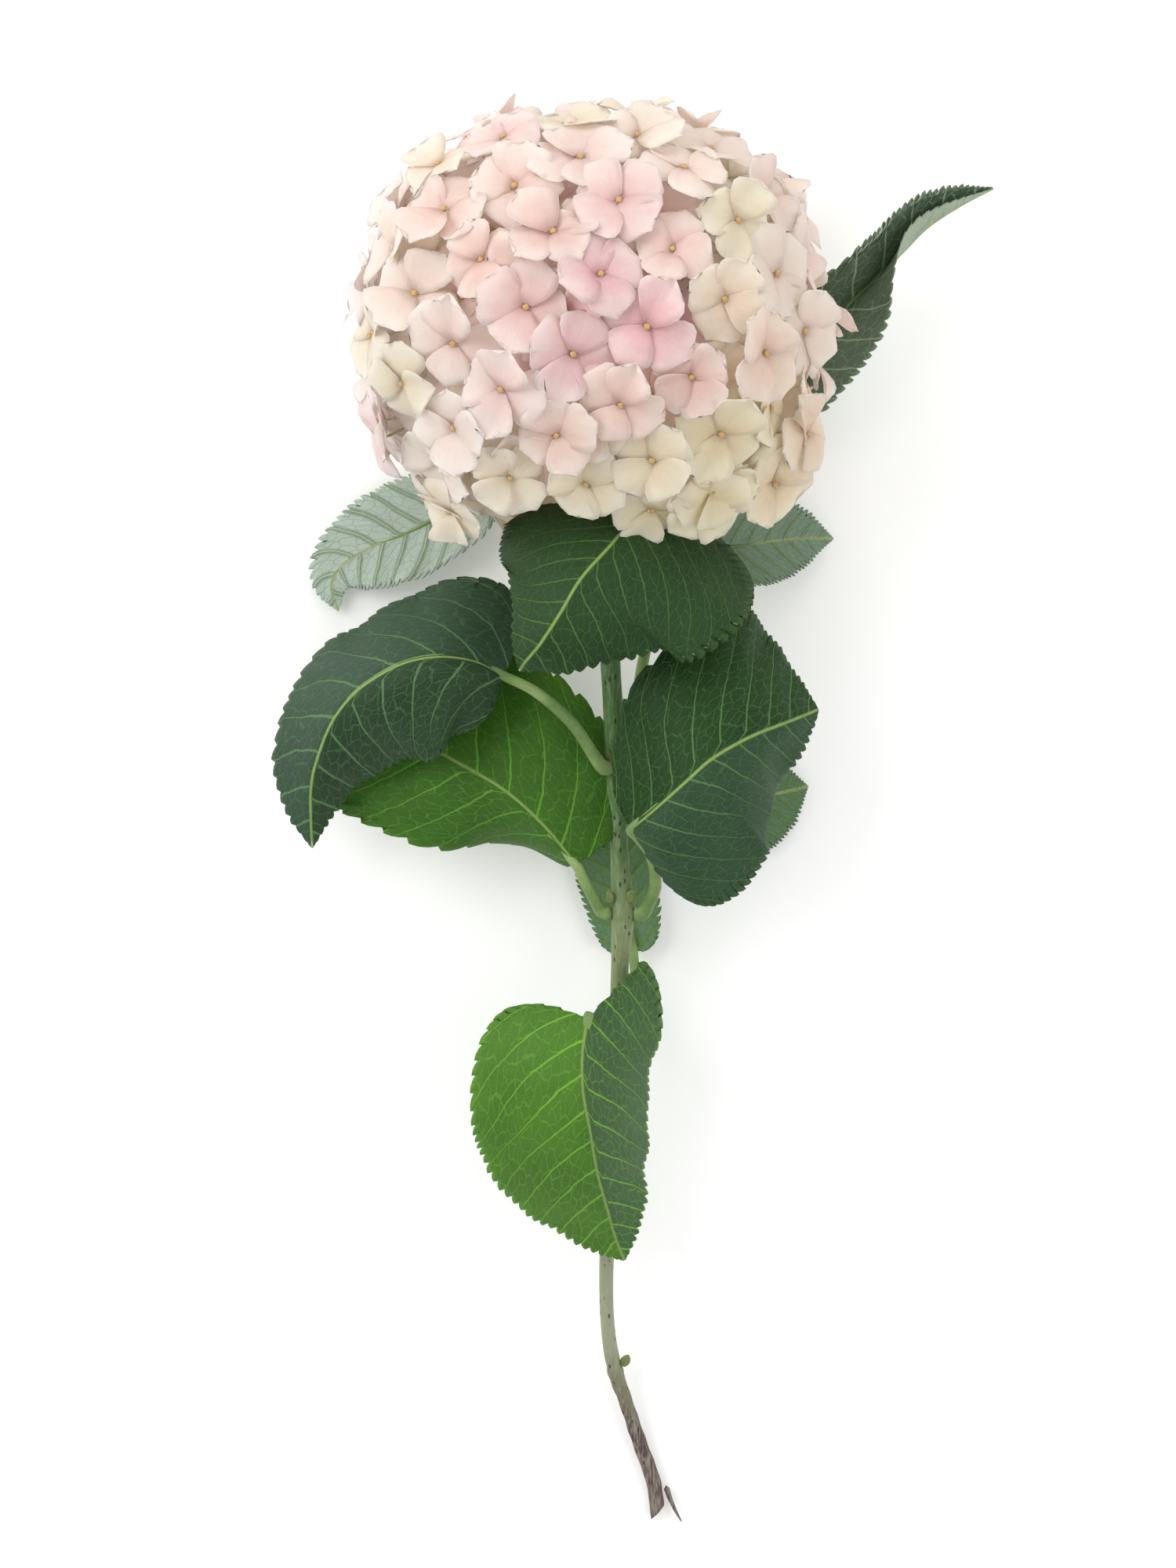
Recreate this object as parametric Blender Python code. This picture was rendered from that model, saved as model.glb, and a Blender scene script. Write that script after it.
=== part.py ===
# Cut hydrangea, one stem lying on its side: cane, ten leaves, flower rays and cymes of florets.
# Lengths in the constants are millimetres; the mesh is written in metres, +Z up, floor at z = 0.
# The bloom points toward +Y and the cut end of the cane toward -Y.
import math
from itertools import combinations

import bpy
import bmesh
from mathutils import Matrix, Vector

for old in list(bpy.data.objects):
    bpy.data.objects.remove(old, do_unlink=True)

MM = 0.001
GAP = 0.3                       # clearance between neighbouring pieces

# --- cane -------------------------------------------------------------------------------
CANE_PATH = [(31, -324, 3.5), (29, -310, 4), (23, -293, 5.5), (17, -275, 8), (12, -260, 11),
             (9, -243, 15), (8, -221, 19), (9, -190, 25), (12, -137, 35), (14, -78, 46),
             (15, -56, 50), (13.5, -27, 55), (12.5, 5, 61), (10, 44, 68), (7.5, 88, 76),
             (6.5, 101, 78), (5, 120, 81), (3.5, 150, 86)]
CANE_RADII = [3.4, 3.3, 3.2, 3.1, 3.4, 3.1, 3.1, 3.4, 3.7, 3.9, 5.0, 3.9, 4.9, 4.2, 5.0, 4.9, 3.6, 4.4]
CANE_SIDES = 12
CANE_STATIONS = 34

# --- bloom ------------------------------------------------------------------------------
BLOOM_CENTRE = Vector((2, 194, 84))
BLOOM_RADII = (94, 87, 86)
BLOOM_SQUARE = 2.25             # superellipsoid power, a little boxier than a ball
FLORET_COUNT = 120              # sites on the closed ball, before the cane side is left out
CANE_CONE = 146                 # degrees from +Y beyond which no floret grows
CYME_COUNT = 35
RAY_RADIUS = 44                 # where the rays end, from the bloom centre
RAY_TILT = 74                   # degrees from +Y of the side rays
SIDE_RAYS = 6
STALK_HALF = 0.75
FORK_BACK = 21                  # fork below the florets
MIDDLE_OF_THREE = 5             # a floret this close to the fork's line stands on its end
MIDDLE_OF_MANY = 11
SEPAL_REACH = (1.3, 7.0, 13.2)  # claw, widest line and tip from the floret centre
SEPAL_HALF = (1.3, 5.8, 4.3)
SEPAL_THICK = 0.8
SPIN_STEPS = 9                  # turns tried for each floret

# --- leaf outline, fractions of blade length and of half width ---------------------------
LEAF_T = [0, 0.03, 0.08, 0.15, 0.24, 0.34, 0.45, 0.56, 0.68, 0.8, 0.91, 1.0]
LEAF_S = [0, -0.02, 0.0, 0.06, 0.18, 0.32, 0.47, 0.61, 0.74, 0.86, 0.945, 1.0]
LEAF_H = [0.03, 0.36, 0.68, 0.87, 0.98, 1.0, 0.92, 0.77, 0.56, 0.32, 0.13, 0.012]
LEAF_U = (0.36, 0.70, 1.0)      # columns from midrib to margin
BLADE_THICK = 0.8
TIP_SOFT = 6.0                  # half width below which the skin is offset straight up
REST_HEIGHT = 1.0               # lowest height of an upper skin lying on the floor

# stem, blade: points of the petiole and of the midrib; up: side of the blade that faces up;
# half widths left and right; fold and curl keyed evenly from base to tip, in degrees;
# bend: fraction of the half width over which the curl happens; lobe: how far the base reaches back;
# lead: how far the widest part is carried toward the tip
LEAVES = {
    "leaf_collar_front": dict(
        stem=[(7, 101, 85.5), (8, 101.5, 91), (12, 105, 98), (17, 110, 103)],
        blade=[(19, 112, 107), (10, 100, 121), (-3, 85, 129), (-12, 70, 129), (-20, 58, 123),
               (-27, 48, 114), (-31, 42, 106)],
        up=1, half=(60, 58), fold=((-2, -4, -10, -14, -10), (-20, -28, -34, -30, -20)),
        curl=((-8, -12, -16, -20, -10), (-34, -34, -30, -20, -10)), bend=(1, 1),
        lobe=(0.1, 0), lead=(0, 0)),
    "leaf_left_upper": dict(
        stem=[(6.5, 7, 68.5), (2, 13, 71), (-7, 26, 75), (-22, 39, 77)],
        blade=[(-36, 46, 79), (-48, 52, 84), (-62, 54, 88), (-76, 52, 89), (-89, 46, 88), (-100, 38, 85),
               (-109, 27, 79), (-115, 14, 72), (-119, 1, 63), (-120, -13, 53), (-120, -28, 42)],
        up=1, half=(52, 50), fold=((92, 45, 14, 0, -15), (-38, -56, -64, -50, -20)),
        curl=((-106, -58, -30, -20, -10), (-10, -12, -16, -20, -10)), bend=(0.34, 1),
        lobe=(0.04, 0), lead=(-0.16, 0)),
    "leaf_left_lower": dict(
        stem=[(6.2, -55.5, 51.5), (3.5, -51, 53.5), (0, -45, 56), (-3, -39, 58)],
        blade=[(-5, -35, 59), (-20, -17, 63), (-37, -2, 63), (-61, 12, 58), (-85, 26, 49),
               (-110, 42, 36)],
        up=1, half=(46, 42), fold=((4, 2, -4, -6, -6), (12, 6, 0, -4, -6)),
        curl=((-12, -14, -16, -14, -8), (-10, -12, -14, -12, -8)), bend=(1, 1),
        lobe=(0, 0), lead=(0.55, 0.58)),
    "leaf_right_lower": dict(
        stem=[(23.4, -56, 51.5), (26.5, -51, 54.5), (29, -43, 62), (27, -31, 73), (21, -23, 84)],
        blade=[(18, -19, 93), (25, -13, 100), (33, -7, 104), (42, 1, 105), (51, 9, 104),
               (61, 14, 101), (71, 17, 96), (83, 21, 86), (99, 32, 68)],
        up=1, half=(70, 58), fold=((-60, -46, -8, -6, -10), (62, 16, -2, -12, -10)),
        curl=((44, 30, -12, -10, -8), (-84, -46, -26, -20, -8)), bend=(1, 0.4),
        lobe=(0, 0.04), lead=(0.4, -0.05)),
    "leaf_low_front": dict(
        stem=[(12, -133.5, 42.5), (10.5, -129, 49), (6, -118, 60), (2.5, -107, 70), (0.6, -99.5, 77)],
        blade=[(0, -99, 83), (-1.5, -107, 86), (-2.5, -117, 88), (-2, -131, 87), (1, -148, 82),
               (4, -166, 72), (8, -182, 59), (12, -197, 46), (16, -208, 38)],
        up=1, half=(50, 52), fold=((-10, -38, -44, -40, -16), (-6, -10, -12, -14, -10)),
        curl=((-40, -24, -22, -20, -8), (-14, -16, -18, -16, -8)), bend=(1, 1),
        lobe=(0, 0), lead=(0, 0.12)),
    "leaf_right_top": dict(
        stem=[(15.2, 90, 74), (22, 95, 66), (38, 108, 45), (56, 136, 24)],
        blade=[(70, 162, 15), (88, 182, 16), (105, 201, 20), (124, 220, 26), (136, 231, 30),
               (148, 243, 34), (162, 252, 39), (176, 259, 44)],
        up=1, half=(24, 28), fold=((0, 6, 66, 66, 40), (35, 50, 62, 60, 30)),
        curl=((-8, -16, -30, -26, -8), (-14, -26, -40, -26, -10)), bend=(1, 1),
        lobe=(0, 0), lead=(0.5, 0.1)),
    "leaf_left_back": dict(
        stem=[(-0.2, 90, 74), (-8, 97, 62), (-21, 111, 40), (-34, 125, 22)],
        blade=[(-46, 134, 13), (-61, 122, 11), (-79, 112, 9), (-96, 105, 8), (-109, 97, 7),
               (-114, 88, 6), (-111, 77, 5)],
        up=-1, half=(23, 22), fold=((2, 2, 2, 2, 2), (-8, -14, -16, -10, -4)),
        curl=((2, 2, 2, 0, 0), (-10, -12, -12, -6, 0)), bend=(1, 1),
        lobe=(0, 0), lead=(0.2, 0.2)),
    "leaf_right_back": dict(
        stem=[(15.6, 8, 54), (17.5, 15, 50), (21, 34, 44), (25, 58, 36), (32, 82, 27)],
        blade=[(43, 96, 20), (56, 103, 17), (72, 106, 14), (86, 108, 11), (98, 109, 9),
               (109, 109, 7)],
        up=-1, half=(20, 22), fold=((-14, -18, -18, -12, -4), (-10, -14, -14, -10, -4)),
        curl=((-8, -10, -10, -6, 0), (-8, -10, -10, -6, 0)), bend=(1, 1),
        lobe=(0, 0), lead=(0.25, 0.25)),
    "leaf_mid_back": dict(
        stem=[(13.5, 2, 52.5), (16, -1, 46), (26, -6, 32), (38, -9, 18)],
        blade=[(48, -10, 9), (58, -9, 7), (69, -7, 6), (80, -5, 5), (90, -3, 4), (98, -1, 4)],
        up=-1, half=(24, 24), fold=((2, 2, 2, 0, 0), (2, 2, 2, 0, 0)),
        curl=((-4, -4, -4, 0, 0), (-4, -4, -4, 0, 0)), bend=(1, 1),
        lobe=(0, 0), lead=(0.25, 0.25)),
    "leaf_low_back": dict(
        stem=[(14, -132, 28.8), (17, -125, 23), (20, -110, 15), (21, -92, 11)],
        blade=[(20, -74, 9), (17, -56, 7), (13, -38, 5), (9, -20, 5), (6, -6, 5), (3, 6, 4)],
        up=-1, half=(16, 18), fold=((4, 4, 2, 2, 0), (2, 4, 4, 2, 0)),
        curl=((-2, -2, 0, 0, 0), (-2, -4, -4, 0, 0)), bend=(1, 1),
        lobe=(0, 0), lead=(0.2, 0.2)),
}
PETIOLE_RADII = (3.0, 2.1)      # at the cane and at the blade

COLOURS = {
    "cane": (0.30, 0.36, 0.16, 1),
    "leaf": (0.06, 0.17, 0.06, 1),
    "ray": (0.50, 0.62, 0.34, 1),
    "floret": (0.90, 0.68, 0.66, 1),
}


def finish(name, bm, colour, rough):
    """Turns a bmesh into a named, smooth-shaded object with its own material."""
    bmesh.ops.recalc_face_normals(bm, faces=bm.faces)
    if bm.calc_volume(signed=True) < 0:
        bmesh.ops.reverse_faces(bm, faces=bm.faces)
    mesh = bpy.data.meshes.new(name)
    bm.to_mesh(mesh)
    bm.free()
    mesh.polygons.foreach_set("use_smooth", [True] * len(mesh.polygons))
    mat = bpy.data.materials.new(name)
    mat.use_nodes = True
    bsdf = mat.node_tree.nodes["Principled BSDF"]
    bsdf.inputs["Base Color"].default_value = COLOURS[colour]
    bsdf.inputs["Roughness"].default_value = rough
    mesh.materials.append(mat)
    ob = bpy.data.objects.new(name, mesh)
    bpy.context.scene.collection.objects.link(ob)
    return ob


def loft(bm, loops, cap_start=True, cap_end=True):
    """Skins closed loops of equal size; loops hold millimetre points."""
    rows = [[bm.verts.new(p * MM) for p in loop] for loop in loops]
    for a, b in zip(rows, rows[1:]):
        n = len(a)
        for i in range(n):
            bm.faces.new((a[i], a[(i + 1) % n], b[(i + 1) % n], b[i]))
    if cap_start:
        bm.faces.new(rows[0][::-1])
    if cap_end:
        bm.faces.new(rows[-1])
    return rows


def keyed(keys, values, x):
    """Smooth interpolation through keyed values."""
    if x <= keys[0]:
        return values[0]
    for i in range(len(keys) - 1):
        if x <= keys[i + 1]:
            f = (x - keys[i]) / (keys[i + 1] - keys[i])
            v0 = values[max(i - 1, 0)]
            v3 = values[min(i + 2, len(values) - 1)]
            v1, v2 = values[i], values[i + 1]
            return (v1 + 0.5 * f * (v2 - v0 + f * (2 * v0 - 5 * v1 + 4 * v2 - v3
                    + f * (3 * (v1 - v2) + v3 - v0))))
    return values[-1]


def even(values, x):
    """Keyed values spread evenly over 0..1."""
    return keyed([i / (len(values) - 1) for i in range(len(values))], values, x)


class Spine:
    """A smooth path through points, read by arc length, with a frame at every place."""

    def __init__(self, points, up, steps=12):
        pts = [Vector(p) for p in points]
        knots = [0.0]
        for a, b in zip(pts, pts[1:]):
            knots.append(knots[-1] + math.sqrt((b - a).length))
        first = pts[0] * 2 - pts[1]
        last = pts[-1] * 2 - pts[-2]
        ctrl = [first] + pts + [last]
        self.points = []
        for i in range(1, len(ctrl) - 2):
            p0, p1, p2, p3 = ctrl[i - 1:i + 3]
            for k in range(steps):
                f = k / steps
                self.points.append(0.5 * (2 * p1 + (p2 - p0) * f + (2 * p0 - 5 * p1 + 4 * p2 - p3) * f * f
                                          + (3 * (p1 - p2) + p3 - p0) * f ** 3))
        self.points.append(pts[-1])
        self.lengths = [0.0]
        for a, b in zip(self.points, self.points[1:]):
            self.lengths.append(self.lengths[-1] + (b - a).length)
        self.total = self.lengths[-1]
        self.up = up

    def at(self, s):
        if s <= 0:
            along = (self.points[1] - self.points[0]).normalized()
            return self.points[0] + along * s
        for i in range(len(self.points) - 1):
            if s <= self.lengths[i + 1]:
                f = (s - self.lengths[i]) / (self.lengths[i + 1] - self.lengths[i])
                return self.points[i].lerp(self.points[i + 1], f)
        return self.points[-1].copy()

    def frame(self, s):
        """Place, direction, up and right-hand side."""
        d = self.total * 0.03
        lo = min(max(s, 0), self.total - d)
        along = (self.at(lo + d) - self.at(max(lo - d, 0))).normalized()
        up = (self.up - along * self.up.dot(along)).normalized()
        return self.at(s), along, up, along.cross(up)


def circle(centre, side, up, radius, sides, phase=0.0):
    """A round section in the plane of side and up."""
    loop = []
    for i in range(sides):
        a = phase + 2 * math.pi * i / sides
        loop.append(centre + side * (radius * math.cos(a)) + up * (radius * math.sin(a)))
    return loop


def cane():
    """The woody cane from the slanted cut up to the swollen top where the flower rays start."""
    path = Spine(CANE_PATH, Vector((0, 0, 1)))
    ends = [0.0]
    probe = [Vector(p) for p in CANE_PATH]
    for a, b in zip(probe, probe[1:]):
        ends.append(ends[-1] + (b - a).length)
    keys = [e / ends[-1] for e in ends]
    stations = sorted(set([i / CANE_STATIONS for i in range(CANE_STATIONS + 1)] + keys[10:11]
                          + keys[12:13] + keys[14:15] + keys[4:5]))
    loops = []
    for f in stations:
        place, along, up, side = path.frame(f * path.total)
        loops.append(circle(place, side, up, keyed(keys, CANE_RADII, f), CANE_SIDES))
    place, along, up, side = path.frame(path.total)
    loops.append(circle(place + along * 3, side, up, 6.0, CANE_SIDES))
    loops.append(circle(place + along * 6.5, side, up, 6.0, CANE_SIDES))
    loops.append(circle(place + along * 9, side, up, 3.0, CANE_SIDES))
    bm = bmesh.new()
    loft(bm, loops)
    return finish("stem", bm, "cane", 0.6), place + along * 5, along


def section(spec, spine, half, s, reach, width):
    """Across the blade: distance sideways and upward at arc distance reach from the midrib."""
    f = max(0.0, min(1.0, s / spine.total))
    fold = math.radians(even(spec["fold"][half], f))
    curl = math.radians(even(spec["curl"][half], f))
    span = max(width * spec["bend"][half], 1e-6)
    steps = 10
    x = z = 0.0
    angle = fold
    for k in range(steps):
        q = min(1.0, (k + 0.5) * reach / steps / span)
        angle = fold + curl * (q * q * (3 - 2 * q) if spec["bend"][half] < 1 else q)
        x += math.cos(angle) * reach / steps
        z += math.sin(angle) * reach / steps
    return x, z, angle


def leaf(name, spec):
    """One leaf as a closed solid: round petiole running into a folded, tapering blade."""
    facing = Vector((0, 0, spec["up"]))
    petiole = Spine(spec["stem"] + spec["blade"][:2], facing)
    blade = Spine(spec["blade"], facing)
    run = petiole.total - (Vector(spec["blade"][1]) - Vector(spec["blade"][0])).length
    loops = []
    sides = 4 * len(LEAF_U)
    across = blade.frame(0)[3]
    for k in range(6):
        f = k / 6
        place, along, up, side = petiole.frame(run * f)
        side = (across - along * across.dot(along)).normalized()
        up = side.cross(along)
        radius = PETIOLE_RADII[0] * (1 - f) + PETIOLE_RADII[1] * f
        radius += 0.7 * max(0.0, 1 - 4 * f)
        ring = circle(place, side, up, radius, sides, math.pi)
        loops.append(ring[:1] + ring[:0:-1])
    for t, ls, lh in zip(LEAF_T, LEAF_S, LEAF_H):
        top, under = {}, {}
        for half, sign in ((0, -1), (1, 1)):
            wide = spec["half"][half]
            back = spec["lobe"][half] * max(0.0, 1 - t / 0.3) ** 2 if t > 0 else 0.0
            q = min(1.0, t / 0.3)
            ahead = ls - back + spec["lead"][half] * (1 - ls) * q * q * (3 - 2 * q)
            for c, u in enumerate(LEAF_U):
                s = (t + (ahead - t) * u ** 1.5) * blade.total
                place, along, up, side = blade.frame(s)
                reach = wide * lh * u
                x, z, angle = section(spec, blade, half, s, reach, wide * lh)
                top[sign * (c + 1)] = place + side * (sign * x) + up * z
                flat = up * math.cos(angle) - side * (sign * math.sin(angle))
                flat = up.lerp(flat, min(1.0, wide * lh / TIP_SOFT)).normalized()
                under[sign * (c + 1)] = top[sign * (c + 1)] - flat * BLADE_THICK
        place, along, up, side = blade.frame(t * blade.total)
        top[0] = place
        rib = BLADE_THICK + 1.2 * (1 - t)
        under[0] = place - up * rib
        n = len(LEAF_U)
        skin = [top[c] for c in range(-n, n + 1)]
        base = [under[c] for c in range(n - 1, -n, -1)]
        loops.append(skin + base)
    for loop in loops[6:]:
        for i, p in enumerate(loop):
            outer = i <= 2 * len(LEAF_U)
            low = REST_HEIGHT if outer == (spec["up"] > 0) else REST_HEIGHT - BLADE_THICK
            if p.z < low + 3:
                lift = low + 3 * math.exp((p.z - low - 3) / 3)
                loop[i] = Vector((p.x, p.y, lift))
    bm = bmesh.new()
    loft(bm, loops)
    finish(name, bm, "leaf", 0.5)


def sites():
    """Evenly spread floret directions on the ball, relaxed, without those around the cane."""
    golden = math.pi * (3 - math.sqrt(5))
    dirs = []
    for i in range(FLORET_COUNT):
        y = 1 - 2 * (i + 0.5) / FLORET_COUNT
        r = math.sqrt(1 - y * y)
        dirs.append(Vector((r * math.cos(golden * i), y, r * math.sin(golden * i))))
    for step in range(40):
        moved = []
        for a in dirs:
            push = Vector((0, 0, 0))
            for b in dirs:
                gap = a - b
                d = gap.length
                if 0 < d < 0.6:
                    push += gap / d ** 4
            moved.append((a + push * 0.00012).normalized())
        dirs = moved
    limit = math.cos(math.radians(CANE_CONE))
    return [d for d in dirs if d.y > limit]


def dome(direction):
    """Point of the bloom surface in a direction, and the outward normal there."""
    q = [direction[i] / BLOOM_RADII[i] for i in range(3)]
    power = BLOOM_SQUARE
    size = sum(abs(v) ** power for v in q) ** (-1 / power)
    normal = Vector([math.copysign(abs(q[i]) ** (power - 1), q[i]) / BLOOM_RADII[i] for i in range(3)])
    return BLOOM_CENTRE + direction * size, normal.normalized()


def clusters(points, count):
    """Groups neighbouring points round evenly spread centres."""
    golden = math.pi * (3 - math.sqrt(5))
    limit = math.cos(math.radians(CANE_CONE))
    centres = []
    for i in range(count):
        y = 1 - (1 - limit) * (i + 0.5) / count
        r = math.sqrt(max(0.0, 1 - y * y))
        centres.append(Vector((r * math.cos(golden * i + 1), y, r * math.sin(golden * i + 1))))
    groups = []
    for step in range(12):
        groups = [[] for c in centres]
        for i, p in enumerate(points):
            best = min(range(count), key=lambda k: (centres[k] - p).length)
            groups[best].append(i)
        for k, g in enumerate(groups):
            if g:
                centres[k] = sum((points[i] for i in g), Vector()).normalized()
    return [g for g in groups if g]


class Floret:
    """Place and turn of one floret; its corners in space come from local corners."""

    def __init__(self, direction, spin):
        place, normal = dome(direction)
        if place.z < 14:
            normal = normal.lerp(Vector((0, 0, -1)), min(1.0, (14 - place.z) / 12)).normalized()
        side = normal.orthogonal().normalized()
        self.normal = normal
        self.turn = Matrix.Rotation(spin, 3, normal) @ Matrix((side, normal.cross(side), normal)).transposed()
        self.place = place
        tips = [self.local(r * c, r * s, h).z for r, h in ((SEPAL_REACH[2] + 1, 0.0), (1.5, 2.6))
                for c, s in ((1, 0), (0, 1), (-1, 0), (0, -1), (0.95, 0.32), (-0.95, -0.32),
                             (0.32, -0.95), (-0.32, 0.95), (0.95, -0.32), (-0.95, 0.32),
                             (0.32, 0.95), (-0.32, -0.95))]
        if min(tips) < 0:
            self.place = place + Vector((0, 0, -min(tips)))

    def local(self, x, y, z):
        return self.place + self.turn @ Vector((x, y, z))

    def corners(self):
        """Outer corners of the four sepals."""
        reach, half = SEPAL_REACH[2], SEPAL_HALF[2]
        flat = ((reach, half), (reach, -half), (-reach, half), (-reach, -half),
                (half, reach), (-half, reach), (half, -reach), (-half, -reach))
        return [self.local(x, y, 0) for x, y in flat]


def settled(directions):
    """Florets in order, each turned so that its sepals keep clear of those already there."""
    spots = []
    for index, direction in enumerate(directions):
        near = [p for other in spots for p in other.corners() + [other.place]
                if (other.place - dome(direction)[0]).length < 3 * SEPAL_REACH[2]]
        best = None
        for step in range(SPIN_STEPS):
            trial = Floret(direction, 0.9 * index + math.pi / 2 * step / SPIN_STEPS)
            room = min([(a - b).length for a in trial.corners() for b in near] or [0.0])
            if best is None or room > best[0]:
                best = (room, trial)
        spots.append(best[1])
    return spots


def quad_join(bm, a, b):
    """Sides between two four-sided loops, turned to twist as little as possible."""
    best = min(range(4), key=lambda k: sum((a[i].co - b[(i + k) % 4].co).length for i in range(4)))
    flip = [b[-i] for i in range(4)]
    other = min(range(4), key=lambda k: sum((a[i].co - flip[(i + k) % 4].co).length for i in range(4)))
    straight = sum((a[i].co - b[(i + best) % 4].co).length for i in range(4))
    mirrored = sum((a[i].co - flip[(i + other) % 4].co).length for i in range(4))
    target = [b[(i + best) % 4] for i in range(4)]
    if mirrored < straight:
        target = [flip[(i + other) % 4] for i in range(4)]
    for i in range(4):
        j = (i + 1) % 4
        bm.faces.new((a[i], a[j], target[j], target[i]))


def floret(bm, spot):
    """Four broad sepals round a small closed bud; returns the loop where the pedicel joins."""
    claw = SEPAL_REACH[0]
    corner = [(claw, -claw), (claw, claw), (-claw, claw), (-claw, -claw)]
    low = [bm.verts.new(spot.local(x * 0.7, y * 0.7, -1.6) * MM) for x, y in corner]
    high = [bm.verts.new(spot.local(x, y, 0.4) * MM) for x, y in corner]
    bud = [bm.verts.new(spot.local(x * 0.8, y * 0.8, 2.4) * MM) for x, y in corner]
    for i in range(4):
        j = (i + 1) % 4
        bm.faces.new((high[i], high[j], bud[j], bud[i]))
        rows = [(low[i], low[j], high[j], high[i])]
        turn = Matrix.Rotation(math.pi / 2 * i, 3, "Z")
        for reach, half, rise in ((SEPAL_REACH[1], SEPAL_HALF[1], 0.9), (SEPAL_REACH[2], SEPAL_HALF[2], 0.2)):
            ring = []
            for y, z in ((-half, rise - SEPAL_THICK), (half, rise - SEPAL_THICK), (half, rise), (-half, rise)):
                p = turn @ Vector((reach, y, z))
                ring.append(bm.verts.new(spot.local(p.x, p.y, p.z) * MM))
            rows.append(tuple(ring))
        for a, b in zip(rows, rows[1:]):
            for k in range(4):
                m = (k + 1) % 4
                bm.faces.new((a[k], a[m], b[m], b[k]))
        bm.faces.new(rows[-1])
    bm.faces.new(bud)
    return low


def cyme(name, spots, root):
    """A stalk that forks into pedicels, one floret on each, as one closed body."""
    bm = bmesh.new()
    mean = sum((f.place for f in spots), Vector()) / len(spots)
    normal = sum((f.normal for f in spots), Vector()).normalized()
    fork = mean - normal * FORK_BACK
    axis = normal
    side = axis.orthogonal().normalized()
    other = axis.cross(side)
    run = (fork - root).normalized()
    foot_side = (side - run * side.dot(run)).normalized()
    foot_other = run.cross(foot_side)
    heads = [floret(bm, f) for f in spots]
    if len(spots) == 1:
        ring = circle(root, foot_side, foot_other, STALK_HALF * 1.3, 4)
        base = [bm.verts.new(p * MM) for p in ring]
        bm.faces.new(base)
        quad_join(bm, base, heads[0])
        return finish(name, bm, "floret", 0.7)
    angles = []
    for f in spots:
        v = f.place - fork
        angles.append(math.atan2(v.dot(other), v.dot(side)))
    radial = [((f.place - fork) - axis * (f.place - fork).dot(axis)).length for f in spots]
    middle = min(range(len(spots)), key=lambda k: radial[k])
    centred = len(spots) > 2 and radial[middle] < (MIDDLE_OF_MANY if len(spots) > 3 else MIDDLE_OF_THREE)
    outer = [k for k in range(len(spots)) if not (centred and k == middle)]
    outer.sort(key=lambda k: angles[k])
    count = 4 if (centred or len(outer) == 2) else len(outer)
    count = max(count, len(outer))
    best = None
    for step in range(12):
        phase = 2 * math.pi / count * step / 12
        for pick in combinations(range(count), len(outer)):
            for shift in range(len(outer)):
                cost = 0.0
                for n, face in enumerate(pick):
                    want = angles[outer[(n + shift) % len(outer)]]
                    have = phase + 2 * math.pi * (face + 0.5) / count
                    gap = (want - have + math.pi) % (2 * math.pi) - math.pi
                    cost += gap * gap
                if best is None or cost < best[0]:
                    best = (cost, phase, pick, shift)
    cost, phase, pick, shift = best
    wide = 1.5 / math.sin(math.pi / count) if count > 4 else 2.0
    foot = circle(root, foot_side, foot_other, STALK_HALF * 1.3, count, phase)
    rings = [[bm.verts.new(p * MM) for p in foot]]
    for place, radius in ((fork - axis * 1.5, STALK_HALF * 1.6), (fork, wide), (fork + axis * 2.6, wide)):
        rings.append([bm.verts.new(p * MM) for p in circle(place, side, other, radius, count, phase)])
    bm.faces.new(rings[0])
    for a, b in ((rings[0], rings[1]), (rings[1], rings[2])):
        for i in range(count):
            j = (i + 1) % count
            bm.faces.new((a[i], a[j], b[j], b[i]))
    used = {face: outer[(n + shift) % len(outer)] for n, face in enumerate(pick)}
    for i in range(count):
        j = (i + 1) % count
        wall = (rings[2][i], rings[2][j], rings[3][j], rings[3][i])
        if i in used:
            quad_join(bm, wall, heads[used[i]])
        else:
            bm.faces.new(wall)
    if centred:
        quad_join(bm, rings[3], heads[middle])
    else:
        bm.faces.new(rings[3])
    return finish(name, bm, "floret", 0.7)


stem_ob, crown, crown_axis = cane()
for leaf_name, leaf_spec in LEAVES.items():
    leaf(leaf_name, leaf_spec)

# flower rays: one along the cane, the others spread round it, each ending in a small knob
ray_dirs = [Vector((0, 1, 0))]
for n in range(SIDE_RAYS):
    a = 2 * math.pi * (n + 0.5) / SIDE_RAYS
    tilt = math.radians(RAY_TILT)
    ray_dirs.append(Vector((math.sin(tilt) * math.cos(a), math.cos(tilt), math.sin(tilt) * math.sin(a))))
knobs = []
for n, d in enumerate(ray_dirs):
    knob = BLOOM_CENTRE + d * RAY_RADIUS
    out = (knob - crown).normalized()
    start = crown + out * (7.6 + GAP)
    bend = start.lerp(knob, 0.5) + crown_axis * (2 if n else 0)
    track = Spine([start, bend, knob - out * 5, knob], Vector((0.31, 0.17, 0.93)))
    loops = []
    for f, radius in ((0, 1.9), (0.3, 1.5), (0.65, 1.4), (0.86, 1.8), (0.92, 4.2), (0.97, 5.0), (1, 4.0)):
        place, along, up, side = track.frame(track.total * f)
        loops.append(circle(place, side, up, radius, 8))
    ray_mesh = bmesh.new()
    loft(ray_mesh, loops)
    finish("ray_%d" % (n + 1), ray_mesh, "ray", 0.6)
    knobs.append(knob - out * 1.6)

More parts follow.
